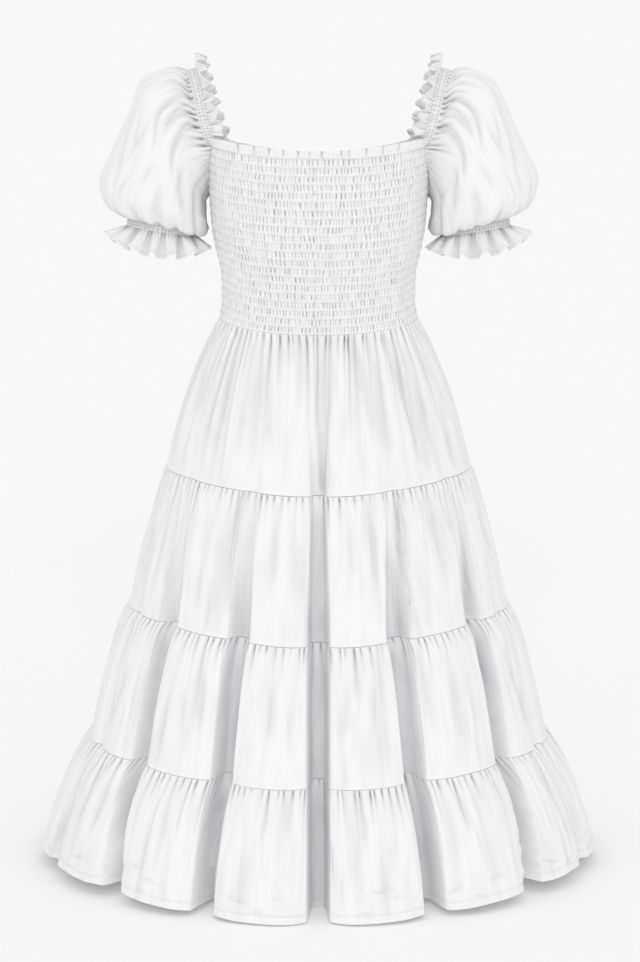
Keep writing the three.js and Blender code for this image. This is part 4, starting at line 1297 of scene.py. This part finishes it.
def stitchLine(path, normal):
    # a run of separate threads along a path on the cloth: each has two ends and two squares between
    total = lengthAlong(path)
    count = int(total[-1] / stitch["pitch"])
    middle = (np.arange(count) + 0.5) * total[-1] / count
    start = pointsAt(middle - stitch["long"] / 2, total, path)
    end = pointsAt(middle + stitch["long"] / 2, total, path)
    up = pointsAt(middle, total, normal)
    ahead = (end - start) / np.linalg.norm(end - start, axis=1, keepdims=True)
    side = np.cross(up, ahead)
    r = stitch["radius"]
    squares = []
    for along in (0.25, 0.75):
        centre = start + (end - start) * along + up * stitch["lift"]
        squares += [centre + side * r, centre + up * r, centre - side * r, centre - up * r]
    points = np.stack([start - up * stitch["bury"]] + squares + [end - up * stitch["bury"]], axis=1)
    faces = []
    for k in range(4):
        nextK = (k + 1) % 4
        faces += [(0, 1 + nextK, 1 + k), (1 + k, 1 + nextK, 5 + nextK, 5 + k), (5 + k, 5 + nextK, 9)]
    return points.reshape(-1, 3), [tuple(10 * n + v for v in face) for n in range(count) for face in faces]


points, faces = np.zeros((0, 3)), []
for piece, grid, down in tiers[3]:
    row = int(np.argmin(np.abs(down[-1] - down - skirt["hemLine"])))
    linePoints, lineFaces = stitchLine(grid[row], gridNormals(grid)[row])
    faces += [tuple(v + len(points) for v in face) for face in lineFaces]
    points = np.concatenate([points, linePoints])
hemStitches = addPiece("hem_stitches", points, faces, stitchThread)
hemStitches.data.validate()

# Each CAD solid is replaced by the cloth piece of its own form
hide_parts("bodice_front")
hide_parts("bodice_back")
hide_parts("neck_frill_front")
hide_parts("neck_frill_back")
for k, side in enumerate(("right", "left")):
    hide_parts(f"shoulder_band_{side}")
    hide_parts(f"shoulder_frill_{side}")
    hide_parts(f"sleeve_{side}")
    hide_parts(f"cuff_band_{side}")
    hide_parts(f"cuff_frill_{side}")
for tier, (front, back) in enumerate(tiers):
    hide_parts(f"skirt_tier_{tier + 1}_front")
    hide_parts(f"skirt_tier_{tier + 1}_back")

# Studio: a pale floor just under the hem, a soft white room and one wide, far light
studio = {
    "floorHeight": -1.1235,
    "floorColour": 0.82,
    "floorGlow": 0.164,
    "room": 0.86,
    "backdrop": 0.94,
    "key": {"place": (0.1, -6.9, 2.7), "aim": (0, 0, -0.5), "angle": 22, "strength": 0.65},
}
print("light")
floorMesh = bpy.data.meshes.new("floor")
z = studio["floorHeight"]
floorMesh.from_pydata([(-30, -30, z), (30, -30, z), (30, 30, z), (-30, 30, z)], [], [(0, 1, 2, 3)])
floor = bpy.data.objects.new("floor", floorMesh)
bpy.context.collection.objects.link(floor)
floorMaterial = simpleMaterial("paleFloor", (studio["floorColour"],) * 3 + (1,), 1)
floorShader = floorMaterial.node_tree.nodes["Principled BSDF"]
floorShader.inputs["Specular IOR Level"].default_value = 0
floorShader.inputs["Emission Color"].default_value = (1, 1, 1, 1)
floorShader.inputs["Emission Strength"].default_value = studio["floorGlow"]
floorMesh.materials.append(floorMaterial)

world = bpy.data.worlds.new("softRoom")
bpy.context.scene.world = world
world.use_nodes = True
room = world.node_tree.nodes["Background"]
room.inputs["Color"].default_value = (1, 1, 1, 1)
seen = world.node_tree.nodes.new("ShaderNodeLightPath")
strength = world.node_tree.nodes.new("ShaderNodeMix")
strength.inputs["A"].default_value = studio["room"]
strength.inputs["B"].default_value = studio["backdrop"]
world.node_tree.links.new(seen.outputs["Is Camera Ray"], strength.inputs["Factor"])
world.node_tree.links.new(strength.outputs["Result"], room.inputs["Strength"])

key = studio["key"]
keyData = bpy.data.lights.new("key", "SUN")
keyData.angle = radians(key["angle"])
keyData.energy = key["strength"]
keyLight = bpy.data.objects.new("key", keyData)
keyLight.location = key["place"]
keyLight.rotation_euler = (Vector(key["aim"]) - Vector(key["place"])).to_track_quat("-Z", "Y").to_euler()
bpy.context.collection.objects.link(keyLight)
bpy.context.scene.view_settings.view_transform = "Standard"

dressed = [np.array([corner[:] for corner in piece.bound_box]) for piece in bpy.data.objects
           if piece.type == "MESH" and piece is not floor]
dressed = np.concatenate(dressed)
